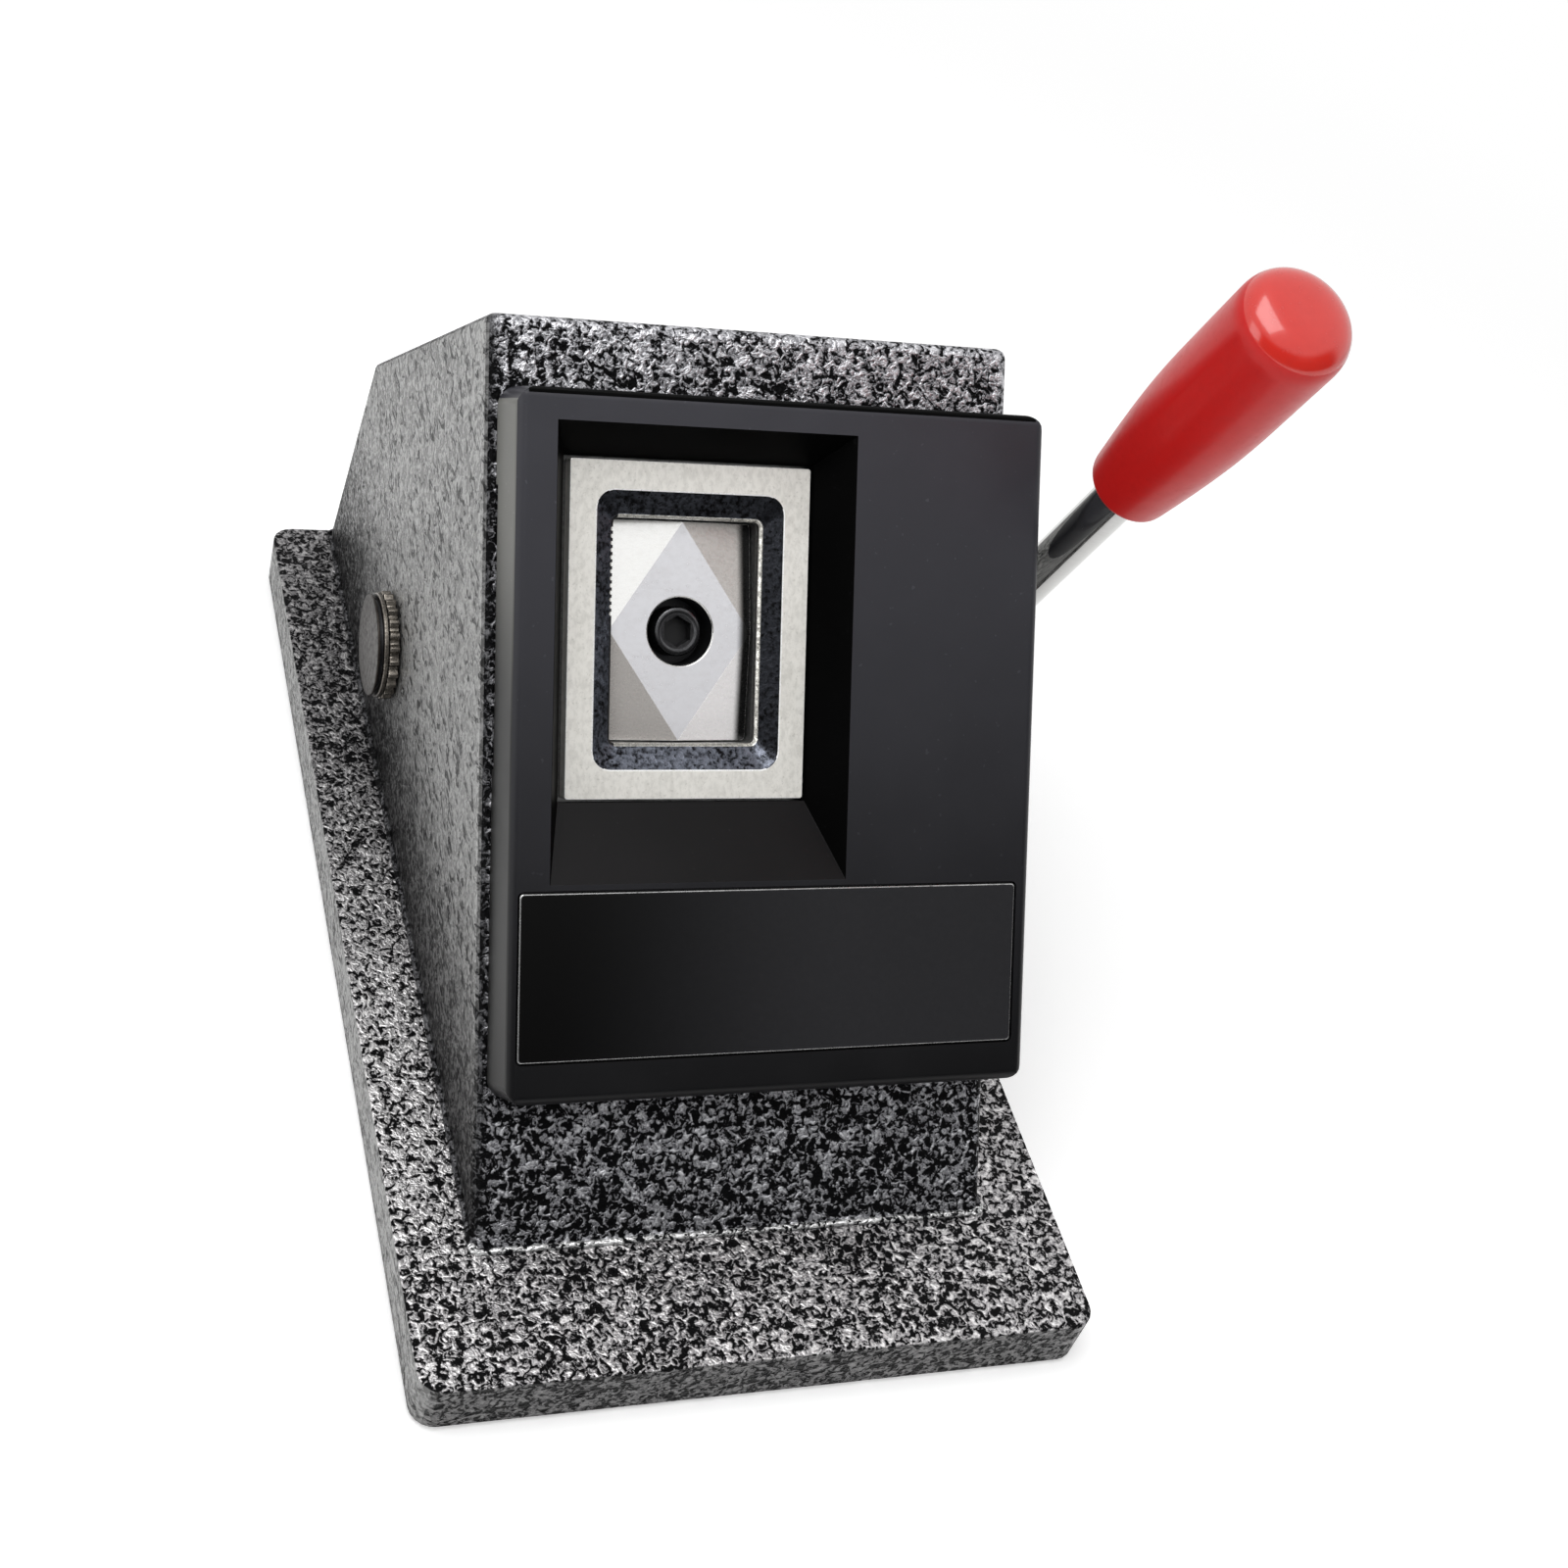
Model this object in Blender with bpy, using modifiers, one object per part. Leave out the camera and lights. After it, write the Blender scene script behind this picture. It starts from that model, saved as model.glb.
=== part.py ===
"""Passport photo cutter: a hand lever press that cuts one portrait out of a print.

A leaning cast body stands on a base plate. Behind the window of its black front cover
a die plate, a guide plate and a punch cut the print, which goes in from the left
between the guide plate and the die plate. The lever turns a cross shaft, an eccentric
on it drives the ram, and two compression springs push the ram back.

Metres, +Z up. The origin is the centre of the underside. The operator stands at -Y.
Sizes named in the face frame run along x (right), s (up the leaning face) and
w (out of the face); w is zero on the front of the body.
"""

import math

import bmesh
import bpy
from mathutils import Matrix, Vector

# Shared clearances
seat_gap = 0.0003
running_gap = 0.0003
cut_overrun = 0.002
round_sides = 32
small_sides = 20
weld_distance = 0.000005

# Base plate and mat
base_width = 0.1552
base_depth = 0.2735
base_thickness = 0.0138
base_corner_radius = 0.0055
base_edge_radius = 0.0016
mat_thickness = 0.0014
mat_inset = 0.004

# Body casting
body_width = 0.1206
body_centre_x = -0.0011
body_front_margin = 0.0322
body_back_margin = 0.0006
face_tilt = math.radians(40.8)
face_length = 0.199
body_top_length = 0.120
body_edge_radius = 0.0024
front_wall = 0.014
side_wall = 0.008
shell_wall = 0.008
foot_pad_width = 0.013
foot_pad_length = 0.022
foot_pad_height = 0.016
foot_pad_front_inset = 0.026
foot_pad_back_inset = 0.020

# Body bolts
bolt_radius = 0.003
bolt_head_radius = 0.005
bolt_head_height = 0.006
bolt_length = 0.020
bolt_head_inset = 0.0006

# Window, die and punch
window_inset = 0.0440
window_s = 0.1336
photo_width = 0.033
photo_height = 0.048
photo_corner_radius = 0.0012
window_rim_width = 0.0423
window_rim_height = 0.0594
window_rim_radius = 0.0042
window_flare_depth = 0.0026
die_width = 0.0540
die_height = 0.0717
die_thickness = 0.004
die_edge_radius = 0.0005
print_slot = 0.001
die_screw_inset = 0.0034
die_screw_radius = 0.0015
die_screw_head_radius = 0.00275
die_screw_head_height = 0.003
die_screw_bite = 0.0024
spacer_radius = 0.0027

# Guide plate
guide_width = 0.074
guide_height = 0.092
guide_thickness = 0.006
guide_corner_radius = 0.003
guide_screw_inset = 0.0048
guide_screw_radius = 0.002
guide_screw_head_radius = 0.0039
guide_screw_head_height = 0.0021
guide_screw_length = 0.0115
throat_clearance = 0.0015

# Punch and its screw
punch_depth = 0.0012
punch_height = 0.022
punch_corner_drop = 0.0022
punch_screw_radius = 0.003
punch_screw_head_radius = 0.00495
punch_screw_head_height = 0.006
punch_screw_length = 0.030
punch_screw_sink = 0.0016
punch_screw_socket = 0.0029
punch_screw_socket_depth = 0.0035
punch_counterbore_radius = 0.00735

# Cross shaft, eccentric and travel
lever_travel = math.radians(55.0)
shaft_depth = 0.0945
shaft_radius = 0.007
shaft_end_chamfer = 0.0008
eccentric_throw = 0.007
eccentric_radius = 0.016
eccentric_width = 0.020
key_width = 0.004
key_height = 0.004
key_length = 0.016

# Ram, gibs and return springs
ram_width = 0.034
ram_height = 0.044
ram_groove_width = 0.0086
ram_groove_depth = 0.0033
yoke_width = 0.058
yoke_front_wall = 0.008
yoke_back_wall = 0.007
yoke_side_wall = 0.006
yoke_edge_radius = 0.003
yoke_slot_play = 0.0012
gib_width = 0.012
gib_height = 0.044
gib_length = 0.030
gib_edge_radius = 0.001
gib_screw_spacing = 0.030
gib_screw_radius = 0.0025
gib_screw_head_radius = 0.00425
gib_screw_head_height = 0.005
gib_screw_bite = 0.0052
spring_pin_radius = 0.0028
spring_pin_grip = 0.008
spring_pin_reach = 0.012
spring_wire_radius = 0.0008
spring_mean_radius = 0.0047
spring_turns = 7
spring_points_per_turn = 10
spring_closed_pitch = 0.0023

# Bushes
bush_outer_radius = 0.010
bush_flange_radius = 0.0125
bush_flange_thickness = 0.0016

# Left end of the shaft
cap_collar_radius = 0.0130
cap_collar_thickness = 0.0010
cap_groove_radius = 0.0112
cap_groove_width = 0.0010
cap_face_radius = 0.0126
cap_face_thickness = 0.0006
cap_edge = 0.0002
cap_dome = 0.0003
cap_stud_radius = 0.0037
cap_stud_length = 0.012
washer_radius = 0.0134
washer_tooth_depth = 0.0011
washer_thickness = 0.0024
washer_teeth = 24
wall_clearance = 0.0004

# Lever hub and stop
lever_cover_gap = 0.0053
hub_outer_margin = 0.0078
hub_flange_radius = 0.024
hub_flange_thickness = 0.005
hub_boss_radius = 0.0125
hub_edge_radius = 0.0008
hub_wall_clearance = 0.0005
hub_socket_radius = 0.0078
hub_socket_reach = 0.026
hub_pin_radius = 0.002
stop_pin_radius = 0.003
stop_pin_circle = 0.018
stop_pin_angle = math.radians(-60.0)
stop_pin_grip = 0.006

# Lever rod and grip
rod_radius = 0.0047
rod_start = 0.0085
rod_lower_lean = math.radians(39.0)
rod_upper_lean = math.radians(24.3)
rod_bend_distance = 0.068
rod_bend_radius = 0.090
rod_bend_steps = 12
rod_tip_sides = 5
grip_start = 0.0648
grip_length = 0.0740
grip_bore_depth = 0.040
grip_mouth_radius = 0.0083
grip_mouth_fillet = 0.0009
grip_full_radius = 0.0119
grip_shoulder_share = 0.56
grip_end_fillet = 0.0036
grip_end_dome = 0.0016

# Front cover
cover_height = 0.1486
cover_left_margin = 0.0033
cover_right_margin = 0.0023
cover_bottom_s = 0.0344
cover_rise = 0.0142
cover_draft = 0.0009
cover_edge_radius = 0.0022
cover_wall = 0.0026
rim_left = 0.0323
rim_right = 0.0340
rim_below = 0.0528
rim_above = 0.0428
tub_floor_rise = 0.0045
tub_lip_rise = 0.0023
tub_gap = 0.0006
tub_left_gap = 0.0014
tub_wall = 0.0020
slot_mouth = 0.0014
cover_screw_inset = 0.015
cover_screw_radius = 0.002
cover_screw_head_radius = 0.0038
cover_screw_head_height = 0.0020
cover_screw_length = 0.022
cover_boss_radius = 0.0055

# Label plate
label_height = 0.0356
label_left_margin = 0.0020
label_right_margin = 0.0036
label_bottom_margin = 0.0091
label_thickness = 0.0010
label_corner_radius = 0.0008
label_groove = 0.0004

# Counts and shares
washer_tooth_land_share = 0.25
cap_dome_steps = 4
grip_dome_steps = 4
grip_fillet_steps = 6
grip_taper_steps = 8

# Values worked out from the sizes above
base_top = mat_thickness + base_thickness
crease_y = -base_depth / 2 + body_front_margin
body_back_y = base_depth / 2 - body_back_margin
die_top_rise = print_slot + die_thickness
half_travel = lever_travel / 2
shaft_drop = eccentric_throw * math.cos(half_travel)
shaft_s = window_s - shaft_drop
ram_stroke = 2 * eccentric_throw * math.sin(half_travel)
body_left = body_centre_x - body_width / 2
body_right = body_centre_x + body_width / 2
window_x = body_left + window_inset
cover_left = body_left + cover_left_margin
cover_right = body_right + cover_right_margin
label_left = cover_left + label_left_margin
label_right = cover_right - label_right_margin
label_centre_s = cover_bottom_s + label_bottom_margin + label_height / 2
hub_x = cover_right + cover_draft + lever_cover_gap + rod_radius


def face_to_world(x, s, w):
    """World place of a point given in the face frame."""
    y = crease_y + s * math.sin(face_tilt) - w * math.cos(face_tilt)
    z = base_top + s * math.cos(face_tilt) + w * math.sin(face_tilt)
    return Vector((x, y, z))


for old_object in list(bpy.data.objects):
    bpy.data.objects.remove(old_object)

parts = bpy.data.collections.new("passport_photo_cutter")
cutters = bpy.data.collections.new("cutters")
bpy.context.scene.collection.children.link(parts)
bpy.context.scene.collection.children.link(cutters)


# Materials

def finish(name, colour, metallic, roughness):
    material = bpy.data.materials.new(name)
    material.use_nodes = True
    shader = material.node_tree.nodes["Principled BSDF"]
    shader.inputs["Base Color"].default_value = (*colour, 1)
    shader.inputs["Metallic"].default_value = metallic
    shader.inputs["Roughness"].default_value = roughness
    material.diffuse_color = (*colour, 1)
    return material


hammer_enamel = finish("hammer_enamel", (0.16, 0.16, 0.17), 0.35, 0.35)
base_enamel = finish("base_enamel", (0.14, 0.14, 0.15), 0.35, 0.35)
black_moulding = finish("black_moulding", (0.030, 0.030, 0.033), 0.0, 0.42)
gloss_label = finish("gloss_label", (0.010, 0.010, 0.011), 0.0, 0.12)
ground_steel = finish("ground_steel", (0.66, 0.64, 0.60), 1.0, 0.30)
punch_steel = finish("punch_steel", (0.62, 0.61, 0.62), 1.0, 0.22)
black_oxide = finish("black_oxide", (0.020, 0.020, 0.021), 0.8, 0.38)
machine_steel = finish("machine_steel", (0.42, 0.42, 0.43), 1.0, 0.36)
zinc_steel = finish("zinc_steel", (0.58, 0.57, 0.53), 1.0, 0.33)
spring_steel = finish("spring_steel", (0.30, 0.30, 0.32), 1.0, 0.30)
bronze = finish("bronze", (0.55, 0.36, 0.16), 1.0, 0.34)
chrome = finish("chrome", (0.82, 0.82, 0.83), 1.0, 0.06)
red_grip = finish("red_grip", (0.60, 0.030, 0.032), 0.0, 0.22)
black_rubber = finish("black_rubber", (0.020, 0.020, 0.020), 0.0, 0.80)


# Frames that carry the pieces

def frame_empty(name, location, tilt, parent=None):
    empty = bpy.data.objects.new(name, None)
    parts.objects.link(empty)
    empty.parent = parent
    empty.location = location
    empty.rotation_euler = (tilt, 0, 0)
    return empty


face_frame = frame_empty("face_frame", (0, crease_y, base_top), math.pi / 2 - face_tilt)
window_frame = frame_empty("window_frame", (window_x, window_s, 0), 0, face_frame)
lever_axis = frame_empty("lever_axis", face_to_world(0, shaft_s, -shaft_depth), 0)


# Modelling tools

def object_from_bmesh(name, shape, parent, location, rotation, material):
    mesh = bpy.data.meshes.new(name)
    shape.to_mesh(mesh)
    shape.free()
    piece = bpy.data.objects.new(name, mesh)
    if material is None:
        cutters.objects.link(piece)
        piece.hide_render = True
        piece.display_type = "WIRE"
    else:
        parts.objects.link(piece)
        mesh.materials.append(material)
    piece.parent = parent
    piece.location = location
    piece.rotation_euler = rotation
    return piece


def smooth(piece, angle=math.radians(32)):
    piece.data.shade_smooth()
    piece.data.set_sharp_from_angle(angle=angle)


def box(name, size, location, parent=None, material=None, rotation=(0, 0, 0)):
    shape = bmesh.new()
    bmesh.ops.create_cube(shape, size=1, matrix=Matrix.Diagonal((*size, 1)))
    return object_from_bmesh(name, shape, parent, location, rotation, material)


def cylinder(name, radius, length, location, parent=None, material=None,
             rotation=(0, 0, 0), sides=round_sides, end_radius=None):
    """A cylinder along its own Z, or a cone whose upper end has end_radius."""
    shape = bmesh.new()
    upper = radius if end_radius is None else end_radius
    bmesh.ops.create_cone(shape, cap_ends=True, segments=sides,
                          radius1=radius, radius2=upper, depth=length)
    piece = object_from_bmesh(name, shape, parent, location, rotation, material)
    smooth(piece)
    return piece


def loft(name, sections, parent, material=None):
    """A solid through flat outlines of equal point counts, each (w, outline)."""
    shape = bmesh.new()
    rings = [[shape.verts.new((x, y, w)) for x, y in outline] for w, outline in sections]
    for low, high in zip(rings, rings[1:]):
        for index, corner in enumerate(low):
            before = index - 1
            shape.faces.new((low[before], corner, high[index], high[before]))
    shape.faces.new(reversed(rings[0]))
    shape.faces.new(rings[-1])
    bmesh.ops.recalc_face_normals(shape, faces=shape.faces)
    return object_from_bmesh(name, shape, parent, (0, 0, 0), (0, 0, 0), material)


def rectangle(left, right, bottom, top):
    return [(left, bottom), (right, bottom), (right, top), (left, top)]


def evaluated_mesh(piece):
    bpy.context.view_layer.update()
    depsgraph = bpy.context.evaluated_depsgraph_get()
    return bpy.data.meshes.new_from_object(piece.evaluated_get(depsgraph))


def welded_from_curve(name, curve, parent, location, rotation, material):
    """Turns a curve into a closed mesh with its caps welded on."""
    source = bpy.data.objects.new(name + "_curve", curve)
    bpy.context.scene.collection.objects.link(source)
    mesh = evaluated_mesh(source)
    bpy.data.objects.remove(source)
    shape = bmesh.new()
    shape.from_mesh(mesh)
    bmesh.ops.remove_doubles(shape, verts=shape.verts, dist=weld_distance)
    bmesh.ops.recalc_face_normals(shape, faces=shape.faces)
    return object_from_bmesh(name, shape, parent, location, rotation, material)


def prism(name, outline, thickness, location, parent=None, material=None,
          rotation=(0, 0, 0)):
    """A flat outline extruded equally both ways along its own Z."""
    curve = bpy.data.curves.new(name, "CURVE")
    curve.dimensions = "2D"
    curve.fill_mode = "BOTH"
    curve.extrude = thickness / 2
    spline = curve.splines.new("POLY")
    spline.points.add(len(outline) - 1)
    for point, (x, y) in zip(spline.points, outline):
        point.co = (x, y, 0, 1)
    spline.use_cyclic_u = True
    return welded_from_curve(name, curve, parent, location, rotation, material)


def tube(name, points, radius, bevel_resolution, location, parent, material):
    curve = bpy.data.curves.new(name, "CURVE")
    curve.dimensions = "3D"
    curve.bevel_depth = radius
    curve.bevel_resolution = bevel_resolution
    curve.use_fill_caps = True
    spline = curve.splines.new("POLY")
    spline.points.add(len(points) - 1)
    for point, place in zip(spline.points, points):
        point.co = (*place, 1)
    piece = welded_from_curve(name, curve, parent, location, (0, 0, 0), material)
    smooth(piece)
    return piece


def turned(name, profile, location, parent=None, material=None,
           rotation=(0, 0, 0), sides=round_sides):
    """A profile of (radius, height) points, outer side downwards, turned about Z."""
    shape = bmesh.new()
    ring = [shape.verts.new((radius, 0, height)) for radius, height in profile]
    for first, second in zip(ring, ring[1:]):
        shape.edges.new((first, second))
    piece = object_from_bmesh(name, shape, parent, location, rotation, material)
    screw = piece.modifiers.new("turn", "SCREW")
    screw.axis = "Z"
    screw.angle = 2 * math.pi
    screw.steps = sides
    screw.render_steps = sides
    screw.use_merge_vertices = True
    screw.merge_threshold = weld_distance
    screw.use_smooth_shade = False
    mesh = evaluated_mesh(piece)
    piece.modifiers.clear()
    piece.data = mesh
    clean = bmesh.new()
    clean.from_mesh(mesh)
    bmesh.ops.remove_doubles(clean, verts=clean.verts, dist=weld_distance)
    bmesh.ops.recalc_face_normals(clean, faces=clean.faces)
    clean.to_mesh(mesh)
    clean.free()
    smooth(piece)
    return piece


def repeated(name, source, places):
    """A copy of the source piece at each named place. All share its mesh."""
    for place_name, place in places.items():
        copy = bpy.data.objects.new(f"{name}_{place_name}", source.data)
        parts.objects.link(copy)
        copy.parent = source.parent
        copy.location = place
        copy.rotation_euler = source.rotation_euler
    bpy.data.objects.remove(source)


def boolean(piece, tool, operation):
    modifier = piece.modifiers.new(tool.name, "BOOLEAN")
    modifier.object = tool
    modifier.operation = operation
    modifier.solver = "EXACT"


def cut(piece, *tools):
    for tool in tools:
        boolean(piece, tool, "DIFFERENCE")


def join(piece, *tools):
    for tool in tools:
        boolean(piece, tool, "UNION")


def bevel(piece, width, segments=3, angle=math.radians(40)):
    modifier = piece.modifiers.new("edges", "BEVEL")
    modifier.width = width
    modifier.segments = segments
    modifier.limit_method = "ANGLE"
    modifier.angle_limit = angle


def round_edges_above(piece, height, width, segments):
    """Rounds every edge of the piece that reaches above a height in its own frame."""
    mesh = piece.data
    weights = mesh.attributes.new("bevel_weight_edge", "FLOAT", "EDGE")
    for edge in mesh.edges:
        top = max(mesh.vertices[index].co.z for index in edge.vertices)
        weights.data[edge.index].value = 1 if top > height else 0
    modifier = piece.modifiers.new("edges", "BEVEL")
    modifier.width = width
    modifier.segments = segments
    modifier.limit_method = "WEIGHT"


def rounded_rectangle(width, height, radius, steps=4):
    """Outline of a rectangle about the origin with arc corners."""
    outline = []
    corners = ((1, 1, 0), (-1, 1, 1), (-1, -1, 2), (1, -1, 3))
    for side_x, side_y, quarter in corners:
        centre_x = side_x * (width / 2 - radius)
        centre_y = side_y * (height / 2 - radius)
        for step in range(steps + 1):
            angle = (quarter + step / steps) * math.pi / 2
            outline.append((centre_x + radius * math.cos(angle),
                            centre_y + radius * math.sin(angle)))
    return outline


def screw_profile(head_radius, head_height, shank_radius, length):
    """A cap screw: its head's top at zero, its shank below."""
    return [(0, 0), (head_radius, 0), (head_radius, -head_height),
            (shank_radius, -head_height), (shank_radius, -length), (0, -length)]


def countersunk_profile(head_radius, head_height, shank_radius, length):
    return [(0, 0), (head_radius, 0), (shank_radius, -head_height),
            (shank_radius, -length), (0, -length)]


def countersink(name, head_radius, head_height, shank_radius, place, parent):
    """Cutter for a countersunk head. Its cone runs on above the surface and into the hole."""
    x, y, top = place
    spread = (head_radius - shank_radius) / head_height
    low, high = top - head_height - 2 * seat_gap, top + cut_overrun
    low_radius = shank_radius + seat_gap - spread * seat_gap
    return cylinder(name, low_radius, high - low, (x, y, (high + low) / 2), parent,
                    sides=small_sides, end_radius=low_radius + spread * (high - low))


def corner_places(half_width, half_height, height):
    return {"lower_left": (-half_width, -half_height, height),
            "upper_left": (-half_width, half_height, height),
            "lower_right": (half_width, -half_height, height),
            "upper_right": (half_width, half_height, height)}


def both_sides(half_width, y, height):
    return {"left": (-half_width, y, height), "right": (half_width, y, height)}


# Base plate, mat and bolts

def bolt_places(height):
    across = body_width / 2 - side_wall - foot_pad_width / 2
    inner_front = crease_y + front_wall / math.cos(face_tilt)
    front, back = inner_front + foot_pad_front_inset, body_back_y - foot_pad_back_inset
    left, right = body_centre_x - across, body_centre_x + across
    return {"front_left": (left, front, height), "back_left": (left, back, height),
            "front_right": (right, front, height), "back_right": (right, back, height)}


def make_base():
    outline = rounded_rectangle(base_width, base_depth, base_corner_radius, 5)
    plate = prism("base_plate", outline, base_thickness,
                  (0, 0, mat_thickness + base_thickness / 2), None, base_enamel)
    bevel(plate, base_edge_radius, 3, math.radians(50))
    counterbore = bolt_head_height + bolt_head_inset + seat_gap
    for name, (x, y, z) in bolt_places(0).items():
        cut(plate,
            cylinder(f"base_hole_{name}", bolt_radius + seat_gap, base_thickness * 2,
                     (x, y, base_top), sides=small_sides),
            cylinder(f"base_counterbore_{name}", bolt_head_radius + seat_gap,
                     counterbore * 2, (x, y, mat_thickness), sides=small_sides))
    mat_outline = rounded_rectangle(base_width - 2 * mat_inset, base_depth - 2 * mat_inset,
                                    base_corner_radius, 5)
    prism("base_mat", mat_outline, mat_thickness - seat_gap,
          (0, 0, (mat_thickness - seat_gap) / 2), None, black_rubber)
    bolt = turned("bolt_blank",
                  screw_profile(bolt_head_radius, bolt_head_height, bolt_radius,
                                bolt_head_height + bolt_length),
                  (0, 0, 0), None, machine_steel, (math.pi, 0, 0), small_sides)
    repeated("body_bolt", bolt, bolt_places(mat_thickness + bolt_head_inset))


# Body casting

def body_outline():
    """Side view in world Y and Z: front foot, top front, top back and back foot.

    Both feet run on below the base's top, where the casting is cut off square."""
    below = 2 * body_edge_radius
    corners = [face_to_world(0, -below / math.cos(face_tilt), 0),
               face_to_world(0, face_length, 0),
               face_to_world(0, face_length, -body_top_length)]
    outline = [(corner.y, corner.z) for corner in corners]
    top_back = outline[-1]
    slope = (body_back_y - top_back[0]) / (top_back[1] - base_top)
    outline.append((body_back_y + slope * below, base_top - below))
    return outline


def inset_outline(outline, insets):
    """The outline with each side moved inwards by its own inset."""
    lines = []
    for index, inset in enumerate(insets):
        start = Vector(outline[index])
        along = (Vector(outline[(index + 1) % len(outline)]) - start).normalized()
        inward = Vector((along.y, -along.x))
        lines.append((start + inward * inset, along))
    result = []
    for index, (place, along) in enumerate(lines):
        before, before_along = lines[index - 1]
        cross = before_along.x * along.y - before_along.y * along.x
        offset = place - before
        travel = (offset.x * along.y - offset.y * along.x) / cross
        result.append(tuple(before + before_along * travel))
    return result


def make_body():
    side_turn = (math.pi / 2, 0, math.pi / 2)
    outline = body_outline()
    body = prism("body_casting", outline, body_width, (body_centre_x, 0, 0), None,
                 hammer_enamel, side_turn)
    bevel(body, body_edge_radius, 4)
    foot_drop = 4 * body_edge_radius
    foot_level = base_top + seat_gap
    cut(body, box("body_foot", (2 * body_width, 2 * base_depth, foot_drop),
                  (body_centre_x, 0, foot_level - foot_drop / 2)))
    cavity_outline = inset_outline(outline, (front_wall, shell_wall, shell_wall, -cut_overrun))
    cavity = prism("body_cavity", cavity_outline, body_width - 2 * side_wall,
                   (body_centre_x, 0, 0), None, None, side_turn)
    cut(body, cavity)
    for name, (x, y, z) in bolt_places(0).items():
        outward = math.copysign(cut_overrun, x - body_centre_x)
        pad = box(f"foot_pad_{name}",
                  (foot_pad_width + cut_overrun, foot_pad_length, foot_pad_height),
                  (x + outward / 2, y, base_top + seat_gap + foot_pad_height / 2))
        join(body, pad)
    for name, (x, y, z) in bolt_places(0).items():
        reach = bolt_head_inset + bolt_head_height + bolt_length + seat_gap - base_thickness
        cut(body, cylinder(f"foot_hole_{name}", bolt_radius + seat_gap, reach * 2,
                           (x, y, base_top), sides=small_sides))
    pocket = prism("guide_pocket",
                   rounded_rectangle(guide_width + 2 * seat_gap, guide_height + 2 * seat_gap,
                                     guide_corner_radius + seat_gap),
                   2 * (guide_thickness + seat_gap), (0, 0, 0), window_frame)
    throat = box("body_throat", (photo_width + 2 * throat_clearance,
                                 photo_height + 2 * throat_clearance, front_wall * 3),
                 (0, 0, 0), window_frame)
    cut(body, pocket, throat)
    drill_front_holes(body)
    drill_side_holes(body)
    smooth(body)


def drill_front_holes(body):
    """Holes for the guide plate, gib and cover screws in the front wall."""
    guide_depth = guide_screw_length + seat_gap
    for name, (x, y, z) in guide_screw_places().items():
        cut(body, cylinder(f"guide_screw_hole_{name}", guide_screw_radius + seat_gap,
                           guide_depth * 2, (x, y, 0), window_frame, sides=small_sides))
    bite = gib_screw_bite + seat_gap
    for name, (x, y, z) in gib_screw_places().items():
        cut(body, cylinder(f"gib_screw_hole_{name}", gib_screw_radius + seat_gap,
                           bite * 2, (x, y, -front_wall), window_frame, sides=small_sides))
    top = cover_rise - label_thickness - seat_gap
    depth = cover_screw_length - top + seat_gap
    for name, (x, s, w) in cover_screw_places(0).items():
        cut(body, cylinder(f"cover_screw_hole_{name}", cover_screw_radius + seat_gap,
                           depth * 2, (x, s, 0), face_frame, sides=small_sides))


def drill_side_holes(body):
    """Bores for the two shaft bushes and the blind hole of the stop pin."""
    across = (0, math.pi / 2, 0)
    for name, x in (("left_bore", body_left), ("right_bore", body_right)):
        cut(body, cylinder(name, bush_outer_radius + seat_gap, side_wall * 3, (x, 0, 0),
                           lever_axis, None, across))
    pin_depth = stop_pin_grip + seat_gap
    cut(body, cylinder("stop_pin_hole", stop_pin_radius + seat_gap, pin_depth * 2,
                       stop_pin_place(body_right), lever_axis, None, across, small_sides))


def stop_pin_place(x):
    return (x, stop_pin_circle * math.cos(stop_pin_angle),
            stop_pin_circle * math.sin(stop_pin_angle))


# Guide plate, die and print slot

def guide_screw_places():
    return corner_places(guide_width / 2 - guide_screw_inset,
                         guide_height / 2 - guide_screw_inset, -seat_gap)


def die_screw_places(height):
    return corner_places(die_width / 2 - die_screw_inset,
                         die_height / 2 - die_screw_inset, height)


def make_guide_plate():
    plate = prism("guide_plate",
                  rounded_rectangle(guide_width, guide_height, guide_corner_radius),
                  guide_thickness, (0, 0, -guide_thickness / 2), window_frame, machine_steel)
    hole = prism("guide_hole",
                 rounded_rectangle(photo_width, photo_height, photo_corner_radius),
                 guide_thickness * 2, (0, 0, -guide_thickness / 2), window_frame)
    cut(plate, hole)
    for name, (x, y, z) in guide_screw_places().items():
        cut(plate,
            cylinder(f"guide_plate_hole_{name}", guide_screw_radius + seat_gap,
                     guide_thickness * 3, (x, y, 0), window_frame, sides=small_sides),
            countersink(f"guide_sink_{name}", guide_screw_head_radius,
                        guide_screw_head_height, guide_screw_radius, (x, y, 0),
                        window_frame))
    counterbore = die_screw_head_height + seat_gap
    for name, (x, y, z) in die_screw_places(0).items():
        cut(plate,
            cylinder(f"die_clear_hole_{name}", die_screw_radius + seat_gap,
                     guide_thickness * 3, (x, y, 0), window_frame, sides=small_sides),
            cylinder(f"die_head_hole_{name}", die_screw_head_radius + seat_gap,
                     counterbore * 2, (x, y, -guide_thickness), window_frame,
                     sides=small_sides))
    blank = turned("guide_screw_blank",
                   countersunk_profile(guide_screw_head_radius, guide_screw_head_height,
                                       guide_screw_radius, guide_screw_length),
                   (0, 0, 0), window_frame, zinc_steel, sides=small_sides)
    repeated("guide_screw", blank, guide_screw_places())


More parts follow.
